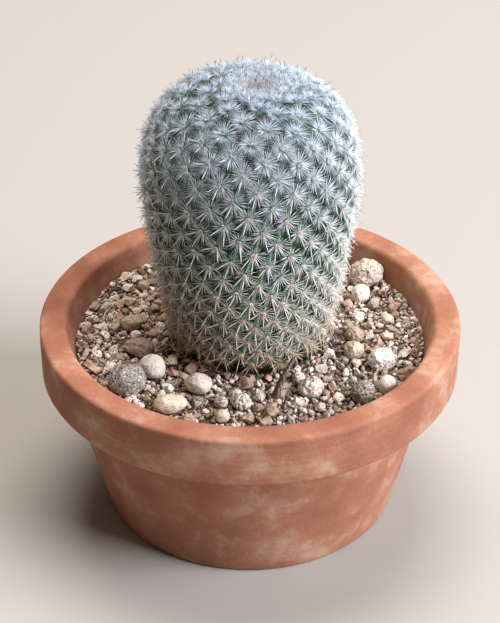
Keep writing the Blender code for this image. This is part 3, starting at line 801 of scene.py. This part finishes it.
# %% [markdown]
# A stone starts as a ball that is worn flat against a few random planes, as it is in a stream or a
# crusher, and is then roughened with noise. Pores that show at arm's length are dug into the mesh, and
# the finest ones are left to the material, which paints them dark as shade.

# %% Shaping stones
NOISE_LAYERS = (0.8, 2.1, 4)  # how fast the layers fade, how much finer each one is, and their number
LUMP_SIZES = (0.8, 0.3)  # of a stone with a half length of 1
FINE_LUMP_SHARE = 0.4  # height of the finer lumps as a share of the others'


def unit_vector(rng):
    """A direction at random, with none more likely than another."""
    return Vector([rng.gauss(0, 1) for _ in range(3)]).normalized()


def wear(bm, rng, planes, reach):
    """Flattens the mesh against random planes at a share of its size."""
    for _ in range(planes):
        normal = unit_vector(rng)
        limit = rng.uniform(*reach)
        for vert in bm.verts:
            beyond = vert.co.dot(normal) - limit
            if beyond > 0:
                vert.co -= normal * beyond


def roughen(bm, amount, size, seed):
    """Pushes each vertex in or out along its normal by noise with lumps of about a size."""
    bm.normal_update()
    offset = Vector((seed * 3.7, seed * 1.3, seed * 7.1))  # far apart in the noise for each seed
    moves = [noise.fractal(vert.co / size + offset, *NOISE_LAYERS) for vert in bm.verts]
    for vert, move in zip(bm.verts, moves):
        vert.co += vert.normal * amount * move


def stone_template(index, subdivisions, planes, reach, lumps):
    """One stone with a half length of 1, to be stamped at many sizes and turns."""
    rng = random.Random(40 + index)
    bm = bmesh.new()
    if subdivisions:
        bmesh.ops.create_icosphere(bm, subdivisions=subdivisions, radius=1)
    else:
        bmesh.ops.create_uvsphere(bm, u_segments=7, v_segments=5, radius=1)
    wear(bm, rng, planes, reach)
    roughen(bm, lumps, LUMP_SIZES[0], index)
    roughen(bm, lumps * FINE_LUMP_SHARE, LUMP_SIZES[1], index)
    bm.verts.layers.float.new("tone")
    return template(f"stone_{index}", bm)


coarse_stones = [stone_template(i, 3, 11, (0.48, 0.82), 0.14) for i in range(10)]
small_stones = [stone_template(20 + i, 2, 10, (0.45, 0.8), 0.14) for i in range(10)]
grains = [stone_template(60 + i, 0, 8, (0.45, 0.8), 0.14) for i in range(10)]
crumbs = [stone_template(40 + i, 1, 3, (0.6, 0.85), 0.2) for i in range(8)]
print(len(coarse_stones + small_stones + grains + crumbs), "kinds of stone shape")

# %% [markdown]
# ## The large pebbles
# Sixteen pebbles are solids of their own. A fine ball is shrunk on to each one by casting a ray from
# outside it through every vertex to its middle, so the new pebble has the solid's own form, and is
# then smoothed, roughened and given its pores.

# %% Pebbles
PEBBLES = {  # kind of stone, tone, roughness in mm, lump size in mm, pore depth in mm, pore size in mm
    "grey_rough": ("lava", 0.02, 0.3, 1.6, 0.35, 1.0),
    "white_smooth": ("river", 0.99, 0.12, 3.0, 0, 1),
    "cream_oval": ("river", 0.03, 0.12, 3.0, 0, 1),
    "tan_block": ("river", 0.37, 0.35, 1.8, 0.4, 1.2),
    "tan_round": ("river", 0.8, 0.25, 1.8, 0, 1),
    "white_right": ("river", 1.0, 0.15, 2.5, 0, 1),
    "olive_round": ("river", 0.25, 0.3, 1.6, 0.2, 1.0),
    "cream_angular": ("river", 0.1, 0.3, 1.8, 0.2, 1.0),
    "speckled_pumice": ("pumice", 0.1, 0.3, 1.6, 0.5, 1.2),
    "cream_bumpy": ("pumice", 0.6, 0.4, 1.5, 0.4, 1.1),
    "cream_front": ("river", 0.09, 0.15, 3.0, 0, 1),
    "brown_front": ("lava", 0.24, 0.35, 1.5, 0.4, 1.0),
    "white_front": ("pumice", 0.38, 0.3, 1.6, 0.45, 1.1),
    "round_front": ("river", 0.12, 0.1, 2.5, 0, 1),
    "cream_right": ("river", 0.97, 0.12, 2.5, 0, 1),
    "dark_angular": ("pumice", 0.86, 0.6, 2.2, 0.35, 1.2),
}
PEBBLE_SUBDIVISIONS = 5
WORN = 4  # smoothing passes for a pebble, and fewer for one with sharp edges
FRESH = 1
SHARP_EDGED = ("dark_angular", "cream_angular", "tan_block")
RAY_START = 0.1  # in metres, which is outside every pebble
PORE_RADIUS = 0.45  # share of the distance from one pore to the next
slot_of = {part["node"]: part["material_slot"] for part in frame["record"]["subparts"]}


def shrink_on_to(node, passes):
    """A fine ball drawn on to a solid towards its middle, and smoothed in a few passes."""
    low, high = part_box(node)
    middle = (low + high) / 2
    solid = bmesh.new()
    solid.from_mesh(frame["nodes"][node].data)
    tree = BVHTree.FromBMesh(solid)
    solid.free()
    bm = bmesh.new()
    bmesh.ops.create_icosphere(bm, subdivisions=PEBBLE_SUBDIVISIONS, radius=1)
    for vert in bm.verts:
        out = vert.co.normalized()
        vert.co = tree.ray_cast(middle + out * RAY_START, -out)[0]
    for _ in range(passes):
        bmesh.ops.smooth_vert(
            bm, verts=bm.verts, factor=0.5, use_axis_x=True, use_axis_y=True, use_axis_z=True
        )
    return bm


def dig_pores(bm, depth, size):
    """Presses small round hollows into the mesh where a cell's middle lies near the surface."""
    bm.normal_update()
    moves = []
    for vert in bm.verts:
        nearest = noise.voronoi(vert.co / size)[0][0]
        moves.append(depth * max(0, 1 - (nearest / PORE_RADIUS) ** 2))
    for vert, move in zip(bm.verts, moves):
        vert.co -= vert.normal * move


def build_pebbles():
    for index, (name, (kind, tone, rough, lump, pore, pore_size)) in enumerate(PEBBLES.items()):
        node = "pebble_" + name
        bm = shrink_on_to(node, FRESH if name in SHARP_EDGED else WORN)
        roughen(bm, rough * MM, lump * MM, index)
        if pore:
            dig_pores(bm, pore * MM, pore_size * MM)
        tone_of = bm.verts.layers.float.new("tone")
        for vert in bm.verts:
            vert[tone_of] = tone
        piece("stone_" + name, bm, STONE_KINDS[kind], slot_of[node], node)


build_pebbles()

# %% [markdown]
# ## The bed of grit
# Loose stones lie on a bed of sand and crumb, partly the sand's own colour and partly darkened as a
# painted shade of the deep gaps between the stones. The bed is a turned ring that fills the pan to just
# under the stones, with its top raised and sunk a little, and the stones are then set on it in four
# sizes. The coarse ones go first, each where it crowds no other much, and the finer ones fill what is
# left.

# %% Bed
BED_DEPTH = 1.0 * MM  # the bed's top lies this far under the level of the grit
BED_SWELL = 0.7 * MM
BED_ROLL = 11 * MM  # size of the swells
BED_CRUMB = 1.2 * MM
BED_CRUMB_HEIGHT = 0.25 * MM
HEAP = 1.4 * MM  # the grit is heaped a little against the stem
HEAP_WIDTH = 2.8 * MM
BED_INNER = 19.2 * MM
BED_RINGS = 30
BED_SEGMENTS = 160
GRIT_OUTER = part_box("grit")[1].x - 0.25 * MM
BED_TOP_MARGIN = 0.3 * MM  # the bed stays this far inside the grit, and further at its foot
BED_FOOT_MARGIN = 1.0 * MM


def bed_height(x, y):
    """Height of the bed's top, which rolls gently and rises to the stem."""
    roll = noise.noise(Vector((x, y, 0)) / BED_ROLL)
    heap = exp(-(((sqrt(x * x + y * y) - BED_INNER) / HEAP_WIDTH) ** 2))
    return GRIT_TOP - BED_DEPTH + BED_SWELL * roll + HEAP * heap


def crumb_material(name, size, stops, relief, shaded_gaps):
    """Packed crumb, sieved and quite matt, with one colour to each crumb and, if asked, painted shade
    in the gaps between crumbs.
    """
    made, tree, shader, where = new_material(name, 0.95)
    crumb = add(tree, "TexVoronoi", {"Vector": where, "Scale": 1 / size})
    tint = add(tree, "SeparateColor", {"Color": crumb.outputs["Color"]})
    shade = add(tree, "ValToRGB", {"Fac": tint}, stops)
    if shaded_gaps:
        # painted shade: each crumb darkens towards its edge, in the gaps between crumbs
        gap_shade = add(tree, "MapRange", {0: crumb, 1: 0.3, 2: 0.7, 3: 1.0, 4: 0.2})
        shade = add(tree, "Mix", {0: 1.0, 6: shade, 7: gap_shade}, **PRODUCT)
    bump = add(tree, "Bump", {"Height": crumb, "Strength": 1.0, "Distance": relief}, invert=True)
    feed(tree, shader, {"Base Color": shade, "Normal": bump})
    return made


def build_bed():
    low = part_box("grit")[0].z
    top = np.linspace(GRIT_OUTER - BED_TOP_MARGIN, BED_INNER, BED_RINGS)
    foot = [(BED_INNER, low), (GRIT_OUTER - BED_FOOT_MARGIN, low)]
    bm = turned(foot + [(radius, GRIT_TOP) for radius in top], BED_SEGMENTS)
    for vert in bm.verts:
        if vert.co.z > low + MM:
            crumb = noise.noise(vert.co / BED_CRUMB)
            vert.co.z = bed_height(vert.co.x, vert.co.y) + BED_CRUMB_HEIGHT * crumb
    # the bed's sand colours are kept dark, a painted shade of the deep gaps between the stones
    sand = crumb_material(
        "shaded_sand_and_crumb", 0.8 * MM,
        [(0, "#2b1f18"), (0.4, "#5d4a3c"), (0.7, "#8c7564"), (1, "#cfc1b2")],
        relief=0.4 * MM, shaded_gaps=True,
    )
    piece("grit_bed", bm, sand, "grit", "grit")


build_bed()

# %% Loose stones
GRADES = [  # templates, half length in mm from and to, tries, how close two may crowd, share sunk
    (coarse_stones, (1.7, 2.5), 800, 0.84, 0.25),
    (small_stones, (1.0, 1.6), 4000, 0.8, 0.2),
    (grains, (0.65, 0.95), 9000, 0.76, 0.05),
    (crumbs, (0.3, 0.55), 22000, 0.8, -0.1),
]
KIND_SHARES = {"pumice": 0.42, "river": 0.42, "lava": 0.09, "flake": 0.07}
STONE_TILT = 0.35  # most that a stone leans, in radians
STONE_WIDTHS = (0.7, 0.95)  # shares of its length
STONE_THICKNESSES = (0.6, 0.9)
FLAKE_THICKNESS = 0.3  # of a stone's
STONE_REACH = 0.85  # how far it takes up the ground, as a share of its half length
STANDING = 0.75  # height of its middle over the bed, as a share of its half thickness
STEM_RING = 19.9 * MM
STEM_MARGIN = 0.7  # shares of its half length that a stone keeps from the stem and from the pan
PAN_MARGIN = 0.9
SPINE_RING = 29 * MM  # within this radius the lowest spines hang over the stones
SPINE_RING_TOP = 2.0 * MM
COARSE_SIDE = -0.25  # the photograph's left has more of the coarse stones
MOST_STONES = 12000
STONE_CREASE = radians(24)


def scaled_turned(rng, size, flat):
    """The matrix of a stone's size and turn: it lies roughly flat, in any direction."""
    tilts = [rng.uniform(-STONE_TILT, STONE_TILT) for _ in range(2)]
    leaning = Euler((*tilts, rng.uniform(0, 2 * pi))).to_matrix().to_4x4()
    return leaning @ Matrix.Diagonal((size, size * rng.uniform(*STONE_WIDTHS), size * flat, 1))


def lay_stones():
    """Sets the stones one by one in the ring between stem and pan."""
    rng = random.Random(77)
    laid = np.zeros((MOST_STONES, 3))  # x, y and reach of each stone
    for count, name in enumerate(PEBBLES):
        low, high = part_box("pebble_" + name)
        laid[count] = (*((low.xy + high.xy) / 2), (high.x - low.x + high.y - low.y) / 4)
    count = len(PEBBLES)
    beds = {kind: bmesh.new() for kind in KIND_SHARES}
    for templates, sizes, tries, crowd, sunk in GRADES:
        for _ in range(tries):
            size = rng.uniform(*sizes) * MM
            inner, outer = STEM_RING + STEM_MARGIN * size, GRIT_OUTER - PAN_MARGIN * size
            radius = sqrt(rng.uniform(inner**2, outer**2))
            turn = rng.uniform(0, 2 * pi)
            x, y = radius * cos(turn), radius * sin(turn)
            kind = rng.choices(list(KIND_SHARES), KIND_SHARES.values())[0]
            left = rng.uniform(-1, 1) > COARSE_SIDE + x / GRIT_OUTER
            if templates is coarse_stones and not left:
                continue
            taken = laid[:count]
            gaps = np.hypot(taken[:, 0] - x, taken[:, 1] - y)
            if (gaps < crowd * (taken[:, 2] + size)).any():
                continue
            flat = rng.uniform(*STONE_THICKNESSES) * (FLAKE_THICKNESS if kind == "flake" else 1)
            z = bed_height(x, y) + size * flat * (STANDING - sunk)
            if radius < SPINE_RING:
                z = min(z, GRIT_TOP + SPINE_RING_TOP - size * flat)
            place = Matrix.Translation((x, y, z)) @ scaled_turned(rng, size, flat)
            stamp(beds[kind], rng.choice(templates), place, rng.random())
            laid[count] = (x, y, size * STONE_REACH)
            count += 1
    for kind, bm in beds.items():
        piece("loose_" + kind, bm, STONE_KINDS[kind], "grit", crease=STONE_CREASE)
    print(count - len(PEBBLES), "loose stones")


lay_stones()

# %% [markdown]
# ## The twig
# A dead stalk leans out of the grit before the stem. It is a tube drawn through a few rings, ribbed
# along its length where the bark has shrunk, swollen at two knots, and broken off at the top.

# %% Twig
TWIG_FOOT = Vector((6.2 * MM, -28.2 * MM, GRIT_TOP - 3 * MM))
TWIG_TIP = Vector((11.2 * MM, -26.8 * MM, GRIT_TOP + 10.4 * MM))
TWIG_BOW = Vector((-0.8 * MM, -0.9 * MM, 0.5 * MM))
TWIG_RADII = (1.15 * MM, 0.45 * MM)
TWIG_KNOTS = [(0.25, 0.1), (0.62, 0.12)]  # how far up each is, and the share that it swells
KNOT_LENGTH = 0.04  # share of the twig
TWIG_RIBS = 5
RIB_DEPTH = 0.07  # share of the radius
RIB_TWIST = 4  # in radians, from foot to tip
TWIG_RINGS = 26
TWIG_SIDES = 18
BARK_FIBRE = 0.4 * MM
FIBRE_STRETCH = 0.15  # scale of the pattern along the fibres as a share of that across them


def bark_material():
    """Dead bark, dried and weathered: dull grey brown, in fibres that run up the stalk."""
    made, tree, shader, where = new_material("weathered_bark", 0.88)
    fibres = add(tree, "Mapping", {"Vector": where, "Scale": (1, 1, FIBRE_STRETCH)})
    streak = add(tree, "TexNoise", {"Vector": fibres, "Scale": 1 / BARK_FIBRE, "Detail": 3.0})
    shade = add(
        tree, "ValToRGB", {"Fac": streak}, [(0.3, "#372c27"), (0.5, "#6c5c53"), (0.7, "#a39488")]
    )
    bump = add(tree, "Bump", {"Height": streak, "Strength": 0.8, "Distance": 0.15 * MM})
    feed(tree, shader, {"Base Color": shade, "Normal": bump})
    return made


def build_twig():
    bm = bmesh.new()
    turn = (TWIG_TIP - TWIG_FOOT).normalized().to_track_quat("Z", "Y").to_matrix()
    rings = []
    for i in range(TWIG_RINGS):
        share = i / (TWIG_RINGS - 1)
        swelling = 1
        for place, swell in TWIG_KNOTS:
            swelling += swell * exp(-(((share - place) / KNOT_LENGTH) ** 2))
        radius = between(share, TWIG_RADII) * swelling
        ring = bmesh.ops.create_circle(bm, segments=TWIG_SIDES, radius=radius)["verts"]
        for number, vert in enumerate(ring):
            ribs = sin(TWIG_RIBS * 2 * pi * number / TWIG_SIDES + RIB_TWIST * share)
            vert.co *= 1 + RIB_DEPTH * ribs
        bmesh.ops.rotate(bm, cent=(0, 0, 0), matrix=turn, verts=ring)
        middle = TWIG_FOOT.lerp(TWIG_TIP, share) + TWIG_BOW * sin(pi * share)
        bmesh.ops.translate(bm, vec=middle, verts=ring)
        edges = dict.fromkeys(edge for vert in ring for edge in vert.link_edges)
        rings.append((ring, list(edges)))
    for (_, low), (_, high) in zip(rings, rings[1:]):
        bmesh.ops.bridge_loops(bm, edges=low + high)
    for ring, _ in (rings[0], rings[-1]):
        bmesh.ops.poke(bm, faces=[bm.faces.new(ring)])
    bmesh.ops.recalc_face_normals(bm, faces=bm.faces)
    roughen(bm, 0.12 * MM, 1.0 * MM, 5)
    piece("dead_twig", bm, bark_material(), "twig", "twig")


build_twig()

# %% [markdown]
# A few dry straws have blown in among the stones. Each is one thin bowed tube that rests on them.

# %% Straws
STRAWS = [  # x, y, heading in degrees, length in mm
    (36, -16, 52, 13),
    (30, -27, 120, 9),
    (-33, -22, 15, 10),
    (12, 38, 100, 12),
    (-38, 9, 70, 9),
]
STRAW_RADIUS = 0.28 * MM
STRAW_TAPER = 0.5
STRAW_BOW = (0, 1.2 * MM, 0.5 * MM)
STRAW_TILT = radians(4)
STRAW_LIFT = 1.5 * MM  # over the bed, so that it lies on the stones
STRAW_RINGS = 12
STRAW_STREAK = 1.5 * MM


def straw_material():
    """A dry grass stalk: pale and smooth, with a faint sheen and darker streaks."""
    made, tree, shader, where = new_material("dry_straw", 0.7)
    streak = add(tree, "TexNoise", {"Vector": where, "Scale": 1 / STRAW_STREAK, "Detail": 2.0})
    shade = add(
        tree, "ValToRGB", {"Fac": streak}, [(0.35, "#85735a"), (0.5, "#ad9b7c"), (0.65, "#cbbea4")]
    )
    bump = add(tree, "Bump", {"Height": streak, "Strength": 0.3, "Distance": 0.05 * MM})
    feed(tree, shader, {"Base Color": shade, "Normal": bump})
    return made


def build_straws():
    bm = bmesh.new()
    for x, y, heading, length in STRAWS:
        straw = bmesh.new()
        bmesh.ops.create_cone(
            straw, cap_ends=True, segments=6, radius1=STRAW_RADIUS,
            radius2=STRAW_TAPER * STRAW_RADIUS, depth=length * MM,
            matrix=Matrix.Rotation(pi / 2, 4, "Y"),
        )
        for cut in np.linspace(-0.5, 0.5, STRAW_RINGS)[1:-1] * length * MM:
            cut_across(straw, (cut, 0, 0), (1, 0, 0))
        for vert in straw.verts:
            vert.co += Vector(STRAW_BOW) * sin(pi * (vert.co.x / (length * MM) + 0.5))
        turn = Matrix.Rotation(radians(heading), 4, "Z") @ Matrix.Rotation(STRAW_TILT, 4, "Y")
        place = Matrix.Translation((x * MM, y * MM, bed_height(x * MM, y * MM) + STRAW_LIFT))
        bmesh.ops.transform(straw, matrix=place @ turn, verts=straw.verts)
        bm.from_mesh(template("straw", straw))
    piece("dry_straws", bm, straw_material(), "twig")


build_straws()

# %% [markdown]
# ## The pan
# The pan is thrown and fired but not glazed, so it is matt, slightly gritty terracotta, with faint
# rings from the thrower's fingers and a white bloom where lime has come through the wall. It is turned
# again here with more sides, and the rings are in the mesh, where they catch the light.

# %% Terracotta
CLAY_GRAIN = 0.6 * MM
BLOOM_PATCH = 14 * MM
LIME_CRUST = 5 * MM


def terracotta(name):
    """Earthenware, thrown and fired, not glazed: matt, gritty and blotched, with a bloom of lime."""
    made, tree, shader, where = new_material(name, 0.86)
    grain = add(tree, "TexNoise", {"Vector": where, "Scale": 1 / CLAY_GRAIN, "Detail": 3.0})
    patch = add(tree, "TexNoise", {"Vector": where, "Scale": 1 / BLOOM_PATCH, "Detail": 5.0})
    body = add(
        tree, "ValToRGB", {"Fac": patch}, [(0.3, "#905944"), (0.5, "#a16a51"), (0.7, "#ae7e64")]
    )
    fleck = add(tree, "MapRange", {0: grain, 1: 0.35, 2: 0.7, 3: 0.88, 4: 1.08})
    flecked = add(tree, "Mix", {0: 1.0, 6: body, 7: fleck}, **PRODUCT)
    crust = {"Vector": where, "Scale": 1 / LIME_CRUST, "Detail": 8.0, "Roughness": 0.7}
    lime = add(tree, "TexNoise", crust)
    bloom = add(tree, "Math", {0: patch, 1: lime}, operation="MULTIPLY")
    bloom_share = add(tree, "MapRange", {0: bloom, 1: 0.26, 2: 0.42, 3: 0.0, 4: 0.4})
    limed = add(tree, "Mix", {0: bloom_share, 6: flecked, 7: "#cdb7a4"}, **COLOURS)
    bump = add(tree, "Bump", {"Height": grain, "Strength": 0.35, "Distance": 0.15 * MM})
    feed(tree, shader, {"Base Color": limed, "Normal": bump})
    return made


# %% Turning the pan
RIM_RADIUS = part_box("pot")[1].x
POT_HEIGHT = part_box("pot")[1].z
RIM_DEPTH = 14 * MM
RIM_STEP = 2.6 * MM
BASE_RADIUS = 40 * MM
WALL = 4.4 * MM
FLOOR = 5 * MM
DRAIN_RADIUS = 5.5 * MM
DRAIN_EDGE = 0.5 * MM
STEP_EDGE = 0.4 * MM
POT_EDGE = 1.3 * MM
POT_SEGMENTS = 160
POT_CUTS = 24  # in the height of the wall, for the rings
RING_SPACING = 2.1 * MM
RING_DEPTH = 0.045 * MM
RING_DRIFT = 2.5  # most that a ring strays from an even spacing, in radians
RING_DRIFT_HEIGHT = 4 * MM
SWAY_DEPTH = 0.12 * MM  # the wall is a little out of true
SWAY_SIZE = 16 * MM
ARC_STEPS = (0, 0.25, 0.5, 0.75, 1)


def inner_radius(z):
    """Radius of the pan's inside at a height."""
    low = BASE_RADIUS - WALL
    high = RIM_RADIUS - RIM_STEP - WALL
    return low + (high - low) * (z - FLOOR) / (POT_HEIGHT - FLOOR)


def rounded(corners):
    """A loop of (radius, height, rounding) corners as points, each corner turned by a short arc."""
    points = []
    for before, corner, after in zip(corners[-1:] + corners[:-1], corners, corners[1:] + corners[:1]):
        here = Vector(corner[:2])
        back = (Vector(before[:2]) - here).normalized() * corner[2]
        ahead = (Vector(after[:2]) - here).normalized() * corner[2]
        points += [here + back * (1 - t) ** 2 + ahead * t**2 for t in ARC_STEPS]
    return points


def build_pan():
    step = POT_HEIGHT - RIM_DEPTH
    corners = [
        (DRAIN_RADIUS, 0, DRAIN_EDGE),
        (BASE_RADIUS, 0, POT_EDGE),
        (inner_radius(step) + WALL, step, STEP_EDGE),
        (RIM_RADIUS, step, POT_EDGE),
        (RIM_RADIUS, POT_HEIGHT, POT_EDGE),
        (inner_radius(POT_HEIGHT), POT_HEIGHT, POT_EDGE),
        (inner_radius(FLOOR), FLOOR, 2 * POT_EDGE),
        (DRAIN_RADIUS, FLOOR, DRAIN_EDGE),
    ]
    bm = turned(rounded(corners), POT_SEGMENTS, POT_CUTS)
    for vert in bm.verts:
        if MM < vert.co.z < POT_HEIGHT - MM:
            out = vert.co.xy.normalized()
            drift = RING_DRIFT * noise.noise(Vector((0, 0, vert.co.z / RING_DRIFT_HEIGHT)))
            ring = sin(2 * pi * vert.co.z / RING_SPACING + drift) * RING_DEPTH
            sway = SWAY_DEPTH * noise.noise(vert.co / SWAY_SIZE)
            vert.co.xy -= out * (RING_DEPTH + ring + abs(sway))
    piece("clay_pan", bm, terracotta("terracotta"), "terracotta", "pot")


build_pan()

# %% [markdown]
# ## What is hidden in the pan
# The shard over the drain hole and the potting mix keep their own solids. The shard is a piece of an
# old pan, and the mix is bark and pumice crumb, dark with a few pale grains.

# %% Crock and mix
HIDDEN = {
    "crock": terracotta("old_terracotta"),
    "potting_mix": crumb_material(
        "bark_and_pumice_mix", 2.2 * MM,
        [(0, "#1d1510"), (0.5, "#3a2a20"), (0.85, "#54402f"), (0.95, "#cfc4b4")],
        relief=0.8 * MM, shaded_gaps=False,
    ),
}
for node, finish in HIDDEN.items():
    frame["nodes"][node].data.materials.clear()
    frame["nodes"][node].data.materials.append(finish)

# %% [markdown]
# ## Floor, light and camera
# The object stands on a plain pale floor. A large cool lamp at the upper right is the sky in the
# reference, a weaker and warmer one high behind the stem lights its crown, and the world's dim warm
# light fills the shadows with the colour of sunlit gravel.

# %% Floor
FLOOR_REACH = 6  # in metres from the middle


def build_floor():
    """A wide sheet of matt pale board under the pan."""
    made, _, shader, _ = new_material("pale_floor", 0.9)
    shader.inputs["Base Color"].default_value = colour("#a8a5a1")
    bm = bmesh.new()
    bmesh.ops.create_grid(bm, x_segments=1, y_segments=1, size=FLOOR_REACH)
    mesh = template("floor", bm)
    mesh.materials.append(made)
    floor = bpy.data.objects.new("floor", mesh)
    bpy.context.scene.collection.objects.link(floor)


build_floor()

# %% Light
LAMP_AIM = Vector((0, 0, 0.08))
WORLD_STRENGTH = 0.15


def lamp(name, place, size, power, tint):
    """A square area lamp that faces the stem."""
    light = bpy.data.lights.new(name, "AREA")
    light.size = size
    light.energy = power
    light.color = colour(tint)[:3]
    made = bpy.data.objects.new(name, light)
    made.location = place
    made.rotation_mode = "QUATERNION"
    made.rotation_quaternion = (Vector(place) - LAMP_AIM).to_track_quat("Z", "Y")
    bpy.context.scene.collection.objects.link(made)
    print(name, "lamp of", power, "W")


lamp("sky", (1.25, -0.48, 0.86), 0.9, 51, "#f3f5fb")
lamp("fill", (0.0, 0.5, 1.6), 1.0, 35, "#fdf4ec")
world = bpy.data.worlds.new("studio")
world.use_nodes = True
background = world.node_tree.nodes["Background"]
feed(world.node_tree, background, {"Color": "#f0d9c2", "Strength": WORLD_STRENGTH})
bpy.context.scene.world = world

# %% Camera
CAMERA_ELEVATION = radians(31)
CAMERA_DISTANCE = 480 * MM
CAMERA_HEIGHT_POINT = GRIT_TOP + 30 * MM
AIM = Vector((0, 0, 56 * MM))
SENSOR_WIDTH = 36  # in mm
IMAGE_HEIGHT = 623
PIXELS_PER_MM = 3.85


def build_camera():
    camera = bpy.data.cameras.new("camera")
    camera.sensor_width = SENSOR_WIDTH
    camera.lens = PIXELS_PER_MM * (CAMERA_DISTANCE / MM) * camera.sensor_width / IMAGE_HEIGHT
    camera.clip_start = 0.01
    made = bpy.data.objects.new("camera", camera)
    back = Vector((0, -cos(CAMERA_ELEVATION), sin(CAMERA_ELEVATION)))
    made.location = Vector((0, 0, CAMERA_HEIGHT_POINT)) + back * CAMERA_DISTANCE
    made.rotation_mode = "QUATERNION"
    made.rotation_quaternion = (made.location - AIM).to_track_quat("Z", "Y")
    bpy.context.scene.collection.objects.link(made)
    bpy.context.scene.camera = made
    print("a lens of", round(camera.lens), "mm")


build_camera()
bpy.context.scene.view_settings.view_transform = "Standard"
